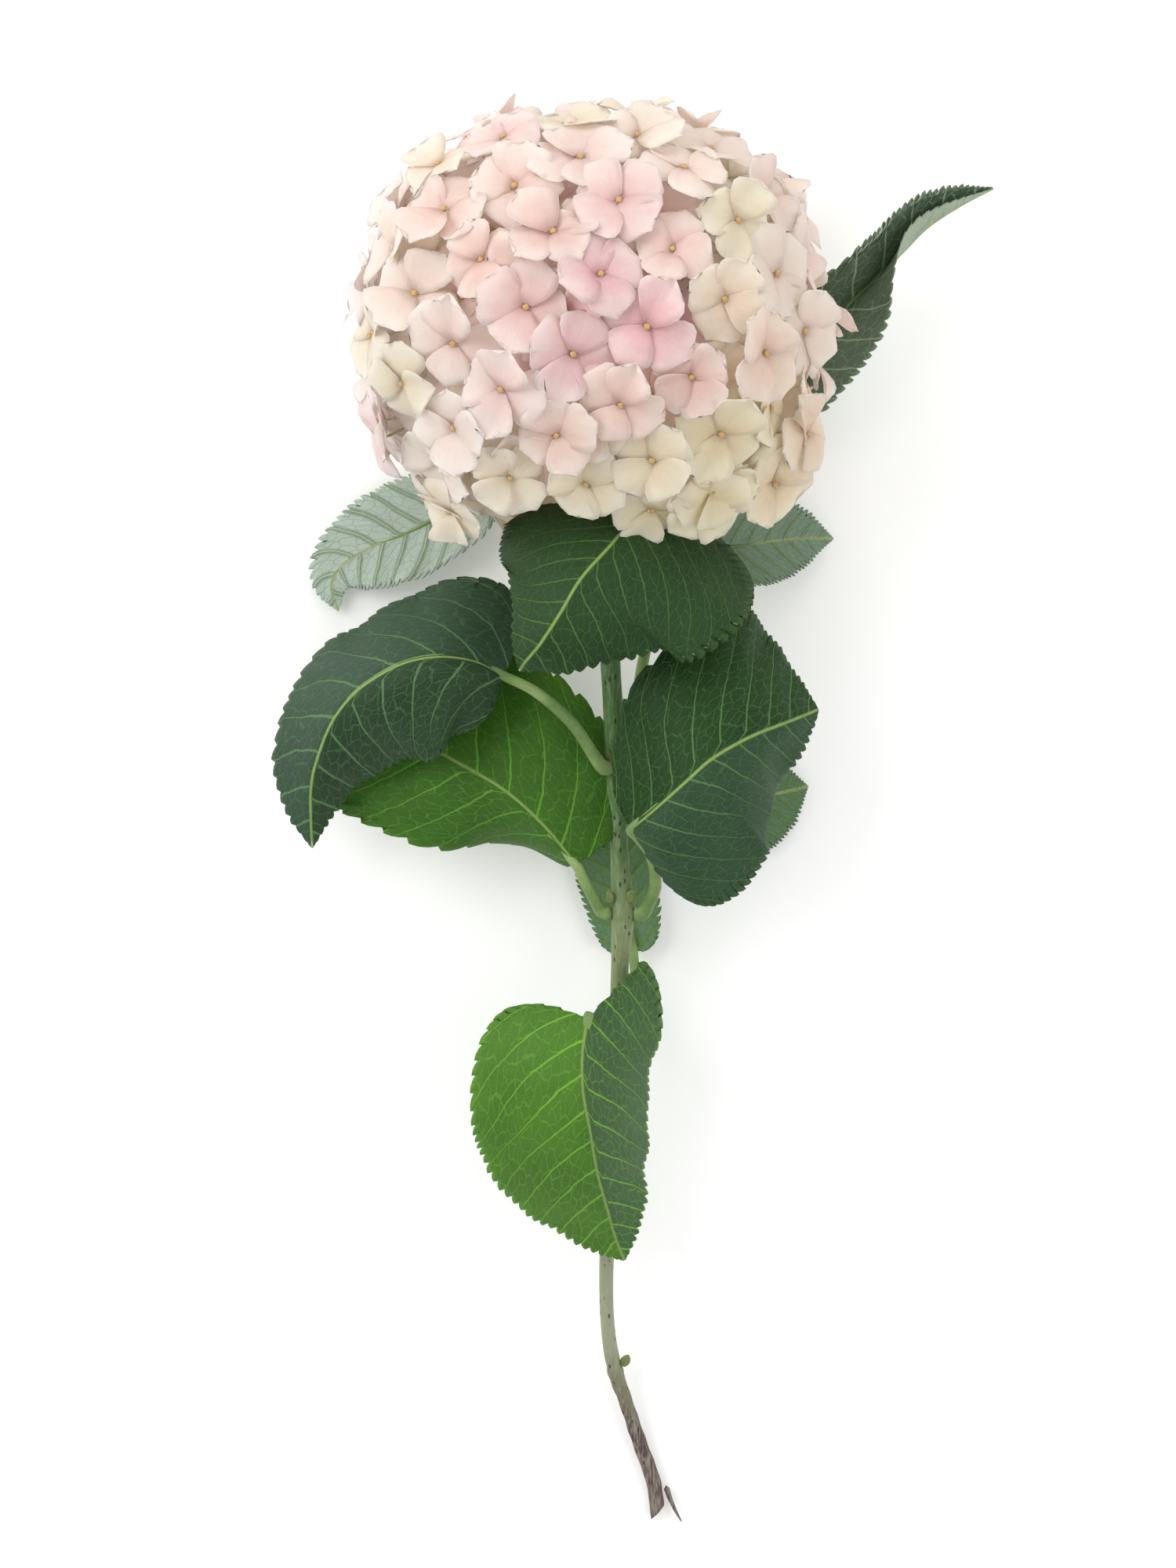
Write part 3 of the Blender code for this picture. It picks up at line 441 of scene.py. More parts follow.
# stem, blade: points of the stalk and the midrib; up: side of the blade that faces up; half widths,
# fold and curl for the left and right halves; bend: share of the half over which it curls; lobe: how
# far the base reaches back; lead: how far the widest part is carried toward the tip; left, right,
# under: colours of the two upper halves and of the underside, some halves holding painted backlight,
# a bright green that stands for light shining through the blade; glow: share of light let through;
# hang: how far the folded halves hang plumb; stripes: how dark the bands beside the veins are
LEAVES = {
    "collar_front": dict(
        stem=[(7, 101, 85.5), (8, 101.5, 91), (12, 105, 98), (17, 110, 103)],
        blade=[(19, 112, 107), (10, 100, 121), (-3, 85, 129), (-12, 70, 129), (-20, 58, 123),
               (-26, 51, 115), (-29, 47, 107)],
        up=1, half=(63, 58), fold=((-2, -4, -10, -14, -10), (-20, -28, -34, -30, -20)),
        curl=((-8, -12, -16, -20, -10), (-34, -34, -30, -20, -10)), bend=(1, 1),
        lobe=(0.3, 0.04), lead=(-0.3, 0), left=(0.022, 0.062, 0.016), right=(0.026, 0.068, 0.019),
        under=(0.16, 0.27, 0.12), glow=0.10),
    "left_upper": dict(
        stem=[(6.5, 7, 68.5), (2, 13, 71), (-7, 26, 75), (-22, 39, 77)],
        blade=[(-36, 46, 79), (-48, 52, 84), (-62, 54, 88), (-76, 52, 89), (-89, 46, 88), (-100, 38, 85),
               (-109, 27, 79), (-115, 14, 72), (-119, 1, 63), (-120, -13, 53), (-120, -28, 42)],
        up=1, half=(44, 58), fold=((92, 45, 14, 0, -15), (-38, -54, -54, -40, -20)),
        curl=((-106, -58, -30, -20, -10), (-10, -12, -16, -20, -10)), bend=(0.34, 1),
        lobe=(0.0, 0.02), lead=(0.0, 0), left=(0.024, 0.058, 0.020), right=(0.036, 0.080, 0.042),
        under=(0.17, 0.27, 0.15), glow=0.08),
    # both halves painted bright green: painted backlight, light shining through the whole blade
    "left_lower": dict(
        stem=[(6.2, -55.5, 51.5), (3.5, -51, 53.5), (0, -45, 56), (-3, -39, 58)],
        blade=[(-5, -35, 59), (-20, -17, 63), (-37, -2, 63), (-61, 12, 58), (-85, 26, 49),
               (-110, 42, 36)],
        up=1, half=(46, 58), fold=((-55, -40, -10, -6, -6), (6, 2, -2, -4, -6)),
        curl=((-36, -24, -16, -14, -8), (-14, -14, -14, -12, -8)), bend=(1, 1),
        lobe=(0, 0), lead=(0.8, 0.42), left=(0.060, 0.165, 0.020), right=(0.060, 0.165, 0.018),
        under=(0.20, 0.33, 0.12), glow=0.22),
    # the left half painted saturated green: painted backlight, light shining through that half
    "right_lower": dict(
        stem=[(23.4, -56, 51.5), (26.5, -51, 54.5), (29, -43, 62), (27, -31, 73), (21, -23, 84)],
        blade=[(18, -19, 93), (25, -13, 100), (33, -6, 104), (42, 2, 105), (50.5, 9.5, 104),
               (60, 15.5, 101), (71, 21, 95), (84, 26, 84), (99, 32, 68)],
        up=1, half=(57, 56), fold=((-60, -46, -8, -6, -10), (50, 12, -4, -12, -10)),
        curl=((44, 30, -12, -10, -8), (-66, -46, -34, -34, -20)), bend=(1, 0.4),
        lobe=(0, 0.04), lead=(0.8, -0.05), hang=0.6, left=(0.015, 0.054, 0.006), right=(0.033, 0.080, 0.034),
        under=(0.15, 0.26, 0.12), glow=0.12),
    # the right half painted bright green: painted backlight, light shining through that half
    "low_front": dict(
        stem=[(12, -133.5, 42.5), (10.5, -129, 49), (6, -118, 60), (2.5, -107, 70), (0.6, -99.5, 77)],
        blade=[(0, -99, 83), (-1.5, -107, 86), (-2.5, -117, 88), (-2, -131, 87), (1, -148, 82),
               (4, -166, 72), (8, -182, 59), (12, -197, 46), (16, -208, 38)],
        up=1, half=(50, 52), fold=((-34, -44, -46, -40, -16), (-6, -10, -12, -14, -10)),
        curl=((-20, -22, -22, -20, -8), (-14, -16, -18, -16, -8)), bend=(1, 1),
        lobe=(0.3, 0.0), lead=(0, 0.12), hang=0.85, left=(0.066, 0.125, 0.060), right=(0.088, 0.220, 0.026),
        under=(0.20, 0.33, 0.14), glow=0.18),
    "right_top": dict(
        stem=[(15.2, 90, 74), (22, 95, 66), (38, 108, 45), (56, 136, 24)],
        blade=[(70, 162, 15), (88, 182, 16), (105, 201, 20), (124, 220, 26), (136, 231, 30),
               (148, 243, 34), (162, 252, 39), (176, 259, 44)],
        up=1, half=(24, 28), fold=((0, 6, 66, 66, 40), (30, 42, 66, 120, 110)),
        curl=((-8, -16, -30, -26, -8), (-14, -26, -40, -26, -10)), bend=(1, 1),
        lobe=(0, 0), lead=(0.5, 0.1), left=(0.090, 0.135, 0.085), right=(0.150, 0.205, 0.145),
        under=(0.46, 0.55, 0.42), glow=0.10),
    "left_back": dict(
        stem=[(-0.2, 90, 74), (-8, 97, 62), (-21, 111, 40), (-34, 125, 22)],
        blade=[(-46, 134, 13), (-61, 122, 11), (-79, 112, 9), (-96, 105, 8), (-109, 97, 7),
               (-114, 88, 6), (-111, 77, 5)],
        up=-1, half=(23, 22), fold=((2, 2, 2, 2, 2), (-8, -14, -16, -10, -4)),
        curl=((2, 2, 2, 0, 0), (-10, -12, -12, -6, 0)), bend=(1, 1),
        lobe=(0, 0), lead=(0.2, 0.2), left=(0.05, 0.11, 0.04), right=(0.05, 0.11, 0.04),
        under=(0.64, 0.76, 0.66), glow=0.25, stripes=0.85),
    "right_back": dict(
        stem=[(15.6, 8, 54), (17.5, 15, 50), (21, 34, 44), (25, 58, 36), (32, 82, 27)],
        blade=[(43, 96, 20), (56, 103, 17), (72, 106, 14), (86, 108, 11), (98, 109, 9),
               (109, 109, 7)],
        up=-1, half=(20, 22), fold=((-14, -18, -18, -12, -4), (-10, -14, -14, -10, -4)),
        curl=((-8, -10, -10, -6, 0), (-8, -10, -10, -6, 0)), bend=(1, 1),
        lobe=(0, 0), lead=(0.25, 0.25), left=(0.05, 0.10, 0.04), right=(0.05, 0.10, 0.04),
        under=(0.30, 0.42, 0.31), glow=0.2, stripes=0.3),
    "mid_back": dict(
        stem=[(13.5, 2, 52.5), (16, -1, 46), (26, -6, 32), (38, -9, 18)],
        blade=[(48, -10, 9), (58, -9, 7), (69, -7, 6), (80, -5, 5), (90, -3, 4), (98, -1, 4)],
        up=-1, half=(24, 24), fold=((2, 2, 2, 0, 0), (2, 2, 2, 0, 0)),
        curl=((-4, -4, -4, 0, 0), (-4, -4, -4, 0, 0)), bend=(1, 1),
        lobe=(0, 0), lead=(0.25, 0.25), left=(0.05, 0.11, 0.04), right=(0.05, 0.11, 0.04),
        under=(0.18, 0.32, 0.16), glow=0.2),
    "low_back": dict(
        stem=[(14, -132, 28.8), (17, -125, 23), (20, -110, 15), (21, -92, 11)],
        blade=[(20, -74, 9), (17, -56, 7), (13, -38, 5), (9, -20, 5), (6, -6, 5), (3, 6, 4)],
        up=-1, half=(16, 18), fold=((4, 4, 2, 2, 0), (2, 4, 4, 2, 0)),
        curl=((-2, -2, 0, 0, 0), (-2, -4, -4, 0, 0)), bend=(1, 1),
        lobe=(0, 0), lead=(0.2, 0.2), left=(0.05, 0.11, 0.04), right=(0.05, 0.11, 0.04),
        under=(0.20, 0.35, 0.17), glow=0.2),
}


def tinted(colour, gain, lift=(0, 0, 0)):
    return tuple(min(1.0, c * gain + e) for c, e in zip(colour, lift))


def vein_maps(skin):
    """Masks of the side veins, the ladder, the fine net and the midrib, and the distance to a vein."""
    lie = skin.attribute("lie")
    phase, reach, along = skin.split(lie)
    swing = skin.noise(lie, 0.11, 2) - 0.5
    bent = phase + swing * 0.16
    wide = skin.smooth(reach, 2.0, 42.0, 0.055, 0.022)
    gap = abs(bent.fraction() - 0.5)
    side = skin.smooth((0.5 - gap) / wide, 1.0, 0.35)
    rungs = skin.add("ShaderNodeCombineXYZ", {}, {0: bent * 2.3, 1: reach / 3.6 + swing * 1.6, 2: 0.0})
    ladder = skin.smooth(skin.cells(rungs, 1.0, flat=True), 0.085, 0.02)
    net = skin.add("ShaderNodeCombineXYZ", {}, {0: along / 1.5 + swing * 3.0, 1: reach / 1.5, 2: 0.0})
    fine = skin.smooth(skin.cells(net, 1.0, flat=True), 0.14, 0.02)
    rib = skin.smooth(reach, 1.0, 0.3)
    return side, ladder, fine, rib, gap


def blade_skin(name, look):
    """Upper side: dark glossy tissue, its two halves coloured apart, some with painted backlight (a bright
    green standing for light shining through), with a paler net of veins.
    """
    skin = Skin(name + "_leaf_top", Specular_IOR_Level=0.2)
    side, ladder, fine, rib = vein_maps(skin)[:4]
    across = skin.split(skin.add("ShaderNodeUVMap", {"uv_map": "blade"}))[0]
    # the colours of the two halves; in some leaves one half is painted backlight
    tissue = skin.mix(skin.smooth(across, 0.47, 0.53), look["left"] + (1,), look["right"] + (1,))
    cloud = skin.noise(skin.place(), 38, 4)
    darker = skin.add("ShaderNodeMix", {"data_type": "RGBA", "blend_type": "MULTIPLY"},
                      {0: 0.55, 6: tissue, 7: (0.55, 0.62, 0.60, 1)}, 2)
    tissue = skin.mix(skin.smooth(cloud, 0.32, 0.68), darker, tissue)
    pale = tinted(look["right"], 1.9, (0.02, 0.03, 0.01))
    tissue = skin.mix(fine * 0.2 + ladder * 0.4, tissue, pale)
    tissue = skin.mix(side * 0.75, tissue, tinted(look["right"], 2.3, (0.05, 0.08, 0.01)))
    edge = skin.smooth(abs(across - 0.5), 0.470, 0.499)
    tissue = skin.mix(edge * 0.35, tissue, tinted(look["right"], 2.2, (0.05, 0.06, 0.02)))
    tissue = skin.mix(rib * 0.9, tissue, (0.30, 0.44, 0.12))
    skin.give("Base Color", tissue)
    grit = skin.noise(skin.place(), 900, 3)
    skin.give("Roughness", skin.smooth(cloud + side * 0.3 + grit * 0.3, 0.3, 1.0, 0.40, 0.62))
    bump = skin.relief(grit * 0.25 - fine * 0.30 - ladder * 0.55 - side * 0.7, 0.00028, 0.9)
    light = tinted(look["right"], 3.2, (0.05, 0.10, 0.0))
    skin.let_light_through(look["glow"], light, bump)
    return skin.material


def under_skin(name, look):
    """Underside: pale and matt, the veins standing proud and a little yellower."""
    skin = Skin(name + "_leaf_under", Roughness=0.72, Specular_IOR_Level=0.2)
    side, ladder, fine, rib, gap = vein_maps(skin)
    cloud = skin.noise(skin.place(), 45, 3)
    base = look["under"]
    tissue = skin.mix(cloud, tinted(base, 0.82), tinted(base, 1.1))
    stripe = skin.smooth(gap + (cloud - 0.5) * 0.12, 0.30, 0.44) * look.get("stripes", 0)
    tissue = skin.mix(stripe, tissue, tinted(base, 0.42, (0.0, 0.05, 0.01)))
    tissue = skin.mix(ladder * 0.35 + fine * 0.18, tissue, tinted(base, 0.70))
    tissue = skin.mix(side * 0.7, tissue, tinted(base, 0.92, (0.10, 0.10, -0.12)))
    tissue = skin.mix(rib * 0.8, tissue, (0.50, 0.58, 0.26))
    skin.give("Base Color", tissue)
    bump = skin.relief(fine * 0.25 + ladder * 0.5 + side, 0.0003, 0.9)
    skin.let_light_through(look["glow"], tinted(base, 0.9, (0.03, 0.08, 0.0)), bump)
    return skin.material


stalk_skin = Skin("leaf_stalk_green", Roughness=0.5, Specular_IOR_Level=0.3)
fibre = stalk_skin.noise(stalk_skin.place(), 500, 4)
drift = stalk_skin.noise(stalk_skin.place(), 45, 2)
stalk_green = stalk_skin.mix(stalk_skin.smooth(drift, 0.35, 0.65), (0.08, 0.17, 0.035), (0.24, 0.36, 0.11))
stalk_skin.give("Base Color", stalk_skin.mix(fibre * 0.5, stalk_green, (0.32, 0.42, 0.18)))
stalk_skin.relief(fibre, 0.0003)


def fold_across(spec, total, half, s, reach, width):
    """Across the blade: distance sideways and upward at arc distance reach from the midrib."""
    f = max(0.0, min(1.0, s / total))
    fold = math.radians(even(spec["fold"][half], f))
    curl = math.radians(even(spec["curl"][half], f))
    span = max(width * spec["bend"][half], 1e-6)
    steps = 12
    x = z = 0.0
    angle = fold
    for k in range(steps):
        q = min(1.0, (k + 0.5) * reach / steps / span)
        angle = fold + curl * (q * q * (3 - 2 * q) if spec["bend"][half] < 1 else q)
        x += math.cos(angle) * reach / steps
        z += math.sin(angle) * reach / steps
    return x, z, angle


def rested(p, low):
    """Keeps a point off the table, easing it down onto the lowest height."""
    if p.z < low + 3:
        p.z = low + 3 * math.exp((p.z - low - 3) / 3)
    return p


def leaf(name, spec, seed):
    """One leaf: its blade, its stalk and the midrib that runs on from it, as one piece."""
    facing = Vector((0, 0, spec["up"]))
    origin = Vector(spec["stem"][0])
    axis = min((cane_spine.frame(cane_spine.total * k / 400)[0] for k in range(401)),
               key=lambda p: (p - origin).length)
    stalk = Spine([axis.lerp(origin, 0.45)] + spec["stem"] + spec["blade"][:2], facing)
    blade = Spine(spec["blade"], facing)
    run = stalk.total - (Vector(spec["blade"][1]) - Vector(spec["blade"][0])).length
    dice = random.Random(seed)
    shake = [dice.uniform(-1, 1) for _ in range(LEAF_ROWS + 1)]
    waves = [(dice.uniform(2.0, 7.0), dice.uniform(0, 6.28), dice.uniform(0.2, 0.5)) for _ in range(3)]
    low = REST_HEIGHT if spec["up"] > 0 else REST_HEIGHT - 0.6
    lie = {}

    def place(x, f):
        row = round(f * LEAF_ROWS)
        t = f ** 1.3
        half, sign = (0, -1) if x < 0 else (1, 1)
        u = abs(x)
        ls, lh = keyed(LEAF_T, LEAF_S, t), keyed(LEAF_T, LEAF_H, t)
        wide = spec["half"][half] * max(lh, 0.004)
        back = spec["lobe"][half] * max(0.0, 1 - t / 0.3) ** 1.2 * min(1.0, t / 0.06)
        q = min(1.0, t / 0.3)
        ahead = ls - back + spec["lead"][half] * (1 - ls) * q * q * (3 - 2 * q)
        size = min(1.0, wide / 12) * (1 + 0.25 * shake[row - row % 4]) * (1 if f < 0.985 else 0)
        tooth = max(0.0, (u - 0.84) / 0.16)
        s = (t + (ahead - t) * u ** 1.5) * blade.total + TOOTH_LEAN[row % 4] * tooth * size
        reach = wide * u + (TOOTH[row % 4] - 0.5) * TOOTH_REACH * tooth * size
        spot, along, up, side = blade.frame(s)
        dx, dz, angle = fold_across(spec, blade.total, half, s, reach, wide)
        flat = up * math.cos(angle) - side * (sign * math.sin(angle))
        w = (s - 0.55 * reach - 0.22 * reach * reach / max(wide, 8)) / blade.total
        phase = w * SIDE_VEINS + (0.32 if half else 0.0) + 20
        gap = abs(phase % 1 - 0.5)
        swell = QUILT * (math.sin(math.pi * (0.5 - gap)) ** 0.6 - 0.6)
        swell *= min(1.0, u * 6) * (1 - u ** 4) * min(1.0, wide / 14)
        swell -= 0.35 * math.exp(-(reach / 1.6) ** 2)
        for pace, start, size_of in waves:
            swell += size_of * u * u * math.sin(pace * 6.28 * t + start + 1.3 * sign) * min(1.0, wide / 25)
        hang = up.lerp(facing, spec.get("hang", 0)).normalized()
        spot = rested(spot + side * (sign * dx) + hang * dz + flat * swell, low)
        lie[(round(x, 4), round(f, 5))] = (phase, reach, s)
        return spot

    bpy.ops.object.select_all(action="DESELECT")
    bpy.ops.mesh.primitive_grid_add(x_subdivisions=LEAF_COLUMNS, y_subdivisions=LEAF_ROWS, size=2)
    ob = bpy.context.object
    mesh = ob.data
    mesh.uv_layers[0].name = "blade"
    note = mesh.attributes.new("lie", "FLOAT_VECTOR", "POINT")
    for i, v in enumerate(mesh.vertices):
        x, f = v.co.x, (v.co.y + 1) / 2
        v.co = (place(x, f) + PLANT) * MM
        note.data[i].vector = lie[(round(x, 4), round(f, 5))]
    mesh.polygons.foreach_set("use_smooth", [True] * len(mesh.polygons))
    for material in (blade_skin(name, spec), under_skin(name, spec), stalk_skin.material):
        mesh.materials.append(material)
    wall = ob.modifiers.new("thickness", "SOLIDIFY")
    wall.thickness = BLADE_THICK * MM
    wall.offset = -1
    wall.material_offset = 1
    bpy.ops.object.modifier_apply(modifier=wall.name)

    across = blade.frame(0)[3]
    whole = run + blade.total

    def stalk_place(u, f):
        s = f * whole
        if s < run:
            spot, along, up, side = stalk.frame(s)
            side = (across - along * across.dot(along)).normalized()
            up = side.cross(along)
            g = s / run
            radius = STALK_RADII[0] * (1 - g) + STALK_RADII[1] * g + 1.1 * max(0.0, 1 - 5 * g) ** 2
            drop = 0.0
        else:
            spot, along, up, side = blade.frame(s - run)
            g = (s - run) / blade.total
            radius = 0.2 + (STALK_RADII[1] - 0.2) * max(0.0, 1 - g) ** 2.6
            drop = min(radius * 1.25 + 0.6 if spec["up"] > 0 else radius * 0.82, g * 60)
        turn = math.pi * u
        groove = 1 - 0.16 * max(0.0, math.sin(turn)) ** 6
        if f <= 0 or f >= 1:
            radius = 0
        spot = spot - up * drop + (side * math.cos(turn) + up * math.sin(turn) * groove) * radius
        spot.z = max(spot.z, 0.15)
        return spot

    rib = sheet(name + "_rib", 14, 90, stalk_place)
    rib.data.materials.append(stalk_skin.material)
    close_up(rib)
    piece = joined("blade_" + name, [ob, rib])
    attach(piece, "root")
    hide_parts("leaf_" + name)
    return piece


for seed, (leaf_name, leaf_look) in enumerate(LEAVES.items()):
    leaf(leaf_name, leaf_look, seed)

# --- Rays ---------------------------------------------------------------------------------
# Seven pale green stalks that fan out of the cane's top inside the bloom, each ending in a knuckle
# from which the cymes spring; they stay as built, with a fibrous green skin.
ray_skin = Skin("pale_ray_green", Roughness=0.6, Specular_IOR_Level=0.25)
thread = ray_skin.noise(ray_skin.place(), 380, 4)
ray_skin.give("Base Color", ray_skin.mix(thread, (0.30, 0.42, 0.18), (0.60, 0.68, 0.40)))
ray_skin.relief(thread, 0.0004)
for name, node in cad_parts.items():
    if name.startswith("ray_"):
        node.data.materials.clear()
        node.data.materials.append(ray_skin.material)

# --- Bloom --------------------------------------------------------------------------------
# A ball of sterile florets: four broad overlapping sepals with wavy edges round a small ochre bud,
# three or four florets on thin forked stalks to a cyme, flushed pink at the heart and cream outside.
BLOOM_CENTRE = Vector((2, 194, 84))
BLOOM_RADII = (94, 87, 86)
BLOOM_SQUARE = 2.25
FLORET_COUNT = 120
CANE_CONE = 146
CYME_COUNT = 35
RAY_RADIUS = 44
RAY_TILT = 74
SIDE_RAYS = 6
FORK_BACK = 21
KNOB_OUT = 5.7
FLORET_KINDS = 12
INNER_COUNT = 124
INNER_DEPTH = 11
INNER_CONE = 158
SEPAL_LENGTH = 20.5
SEPAL_HALF = 17.6
SEPAL_ROWS = 6
SEPAL_COLUMNS = 6
SEPAL_THICK = 0.3
UPTURNED = 8
BUD_RADIUS = 1.35
INNER_START = 1.3
INNER_SEED = 1000
STRAY_SEED = 3000
SEEDS_PER_CYME = 10
LEAN = 0.42
FRONT_LEAN = 0.22
STRAY_LEAN = 0.65
BACK_BELOW = -0.2
SETTLE_HEIGHT = 14
SETTLE_SPAN = 12
STALK_RADIUS = 0.65
STALK_FLOOR = 1.5
FORK_RADIUS = 1.0
# florets that break the ball's outline: direction from its centre, and how far out they stand
STRAYS = [((-0.88, -0.48, 0.12), 6), ((-0.61, -0.79, 0.15), 8), ((0.75, -0.66, 0.2), 11),
          ((0.5, -0.84, 0.35), 2), ((0.88, -0.47, 0.2), 6), ((-0.87, 0.5, 0.1), -7),
          ((0.31, 0.95, 0.1), -5), ((0.95, 0.2, 0.1), -7), ((0.27, -0.88, 0.4), 2),
          ((-0.3, 0.93, 0.2), -6), ((0.72, 0.66, 0.15), -6), ((-0.97, 0.05, 0.2), -8),
          ((-0.7, 0.7, -0.1), -5)]
# directions from the bloom's centre, the colour of the sepals' outer parts there and of their hearts
TINTS = [((0.0, 0.05, 1.0), (0.95, 0.80, 0.77), (0.90, 0.56, 0.58)),
         ((0.18, -0.18, 1.0), (0.94, 0.76, 0.82), (0.86, 0.52, 0.64)),
         ((-0.35, 0.75, 0.6), (0.95, 0.89, 0.85), (0.93, 0.77, 0.73)),
         ((0.1, 0.95, 0.3), (0.95, 0.91, 0.84), (0.93, 0.80, 0.72)),
         ((0.75, 0.45, 0.5), (0.94, 0.93, 0.82), (0.93, 0.87, 0.74)),
         ((0.95, 0.05, 0.35), (0.95, 0.90, 0.86), (0.94, 0.81, 0.76)),
         ((-0.95, 0.1, 0.3), (0.95, 0.95, 0.94), (0.92, 0.88, 0.84)),
         ((-0.62, 0.25, 0.75), (0.95, 0.88, 0.76), (0.93, 0.76, 0.58)),
         ((0.62, -0.55, 0.6), (0.90, 0.90, 0.62), (0.84, 0.80, 0.44)),
         ((-0.55, -0.5, 0.65), (0.95, 0.91, 0.93), (0.91, 0.80, 0.84)),
         ((-0.2, -0.8, 0.55), (0.90, 0.91, 0.68), (0.82, 0.83, 0.48)),
         ((0.15, -0.9, 0.4), (0.95, 0.94, 0.84), (0.90, 0.86, 0.64)),
         ((0.0, 0.1, -1.0), (0.94, 0.88, 0.81), (0.92, 0.74, 0.66))]
TINT_FOCUS = 9.0

# The sepals give off a faint glow in their own colour: painted light that brightens the bloom though no lamp
# is there.
sepal_skin = Skin("sepal_tissue_painted_glow", Roughness=0.55, Specular_IOR_Level=0.22, Emission_Strength=0.045)
sepal_across, sepal_along = sepal_skin.split(sepal_skin.add("ShaderNodeUVMap", {"uv_map": "sepal"}))[:2]
rim_tint = sepal_skin.attribute("rim", "Color")
heart_tint = sepal_skin.attribute("heart", "Color")
mottle = sepal_skin.noise(sepal_skin.place(), 160, 4)
fan = (sepal_across - 0.5) / (sepal_along * 0.9 + 0.25)
lines = sepal_skin.noise(sepal_skin.add("ShaderNodeCombineXYZ", {}, {0: fan * 15.0, 1: sepal_along * 1.3,
                                                                    2: mottle * 1.5}), 1.0, 3)
vein = sepal_skin.smooth(lines, 0.50, 0.68)
flush = sepal_skin.smooth(sepal_along + (mottle - 0.5) * 0.7 + (lines - 0.5) * 0.4, 0.0, 0.66, 1.0, 0.0)
petal = sepal_skin.mix(flush, rim_tint, heart_tint)
petal = sepal_skin.mix(vein * flush * 0.22, petal, (0.80, 0.44, 0.52))
petal = sepal_skin.mix(vein * 0.08, petal, (0.74, 0.66, 0.52))
# Painted highlight: the edges and tips of each sepal are paled towards white, a bright rim of light put into
# the colour.
edge = sepal_skin.smooth(abs(sepal_across - 0.5), 0.44, 0.50)
tip = sepal_skin.smooth(sepal_along, 0.93, 1.0)
petal = sepal_skin.mix((edge + tip) * 0.6, petal, (0.96, 0.95, 0.92))
sepal_skin.give("Base Color", petal)
# painted glow: the sepal colour is also given out as light
sepal_skin.give("Emission Color", petal)
sepal_bump = sepal_skin.relief(lines * 0.7 + mottle * 0.3, 0.0004, 0.6)
sepal_skin.let_light_through(0.42, (1.0, 0.90, 0.85), sepal_bump)

ochre_skin = Skin("ochre_bud", Roughness=0.5, Specular_IOR_Level=0.3)
dust = ochre_skin.noise(ochre_skin.place(), 1200, 3)
ochre_skin.give("Base Color", ochre_skin.mix(dust, (0.50, 0.24, 0.08), (0.80, 0.58, 0.26)))
ochre_skin.relief(dust, 0.0003)

pedicel_skin = Skin("floret_stalk", Roughness=0.55, Specular_IOR_Level=0.25)
tone = pedicel_skin.noise(pedicel_skin.place(), 60, 3)
pedicel_skin.give("Base Color", pedicel_skin.mix(tone, (0.52, 0.58, 0.34), (0.76, 0.60, 0.50)))
pedicel_skin.relief(tone, 0.0003)


def floret_kind(kind):
    """One floret, lying flat about its own centre in millimetres: four sepals and a bud."""
    dice = random.Random(100 + kind)
    parts = []
    for n in range(4):
        turn = Matrix.Rotation(math.pi / 2 * n + dice.uniform(-0.10, 0.10), 3, "Z")
        length = SEPAL_LENGTH * dice.uniform(0.86, 1.06)
        half = SEPAL_HALF * dice.uniform(0.84, 1.08)
        lift = 0.7 if n % 2 else -0.5
        rise, fall = dice.uniform(0.0, 9.0), dice.uniform(0.5, 8.0)
        if (n * 5 + kind) % 7 == 0:
            rise += UPTURNED
        cup, wave = dice.uniform(-4.0, 6.0), dice.uniform(0.8, 2.4)
        start, skew = dice.uniform(0, 6.28), dice.uniform(-2.5, 2.5)

        def place(b, f):
            a = 0.06 + 0.935 * math.sin(math.pi / 2 * f)
            wide = half * a ** 0.66 * math.sqrt(1 - a ** 3.6)
            x = length * a * (1 - 0.12 * b * b)
            y = wide * b + skew * a * a
            calm = 1 - 0.75 * a ** 6
            z = lift + rise * a - fall * a ** 2.6 + cup * b * b * a * calm
            z += wave * a * calm * math.sin(3.6 * b + start + 2 * a)
            return turn @ Vector((x, y, z)) - PLANT
        ob = sheet("sepal", SEPAL_COLUMNS, SEPAL_ROWS, place)
        ob.data.uv_layers[0].name = "sepal"
        ob.data.materials.append(sepal_skin.material)
        wall = ob.modifiers.new("thickness", "SOLIDIFY")
        wall.thickness = SEPAL_THICK * MM
        wall.offset = 0
        bpy.ops.object.modifier_apply(modifier=wall.name)
        parts.append(ob)
    bpy.ops.object.select_all(action="DESELECT")
    bpy.ops.mesh.primitive_uv_sphere_add(segments=12, ring_count=6, radius=BUD_RADIUS * MM)
    heart = bpy.context.object
    heart.data.uv_layers[0].name = "sepal"
    for v in heart.data.vertices:
        ang = math.atan2(v.co.y, v.co.x)
        v.co.xy *= 1 + 0.16 * math.cos(4 * ang)
        v.co.z = v.co.z * 0.75 + 1.3 * MM - 0.0002 * math.cos(4 * ang) * (v.co.z > 0)
    heart.data.polygons.foreach_set("use_smooth", [True] * len(heart.data.polygons))
    heart.data.materials.append(ochre_skin.material)
    whole = joined("floret_kind", parts + [heart])
    for tint in ("rim", "heart"):
        whole.data.attributes.new(tint, "FLOAT_COLOR", "POINT")
    return whole


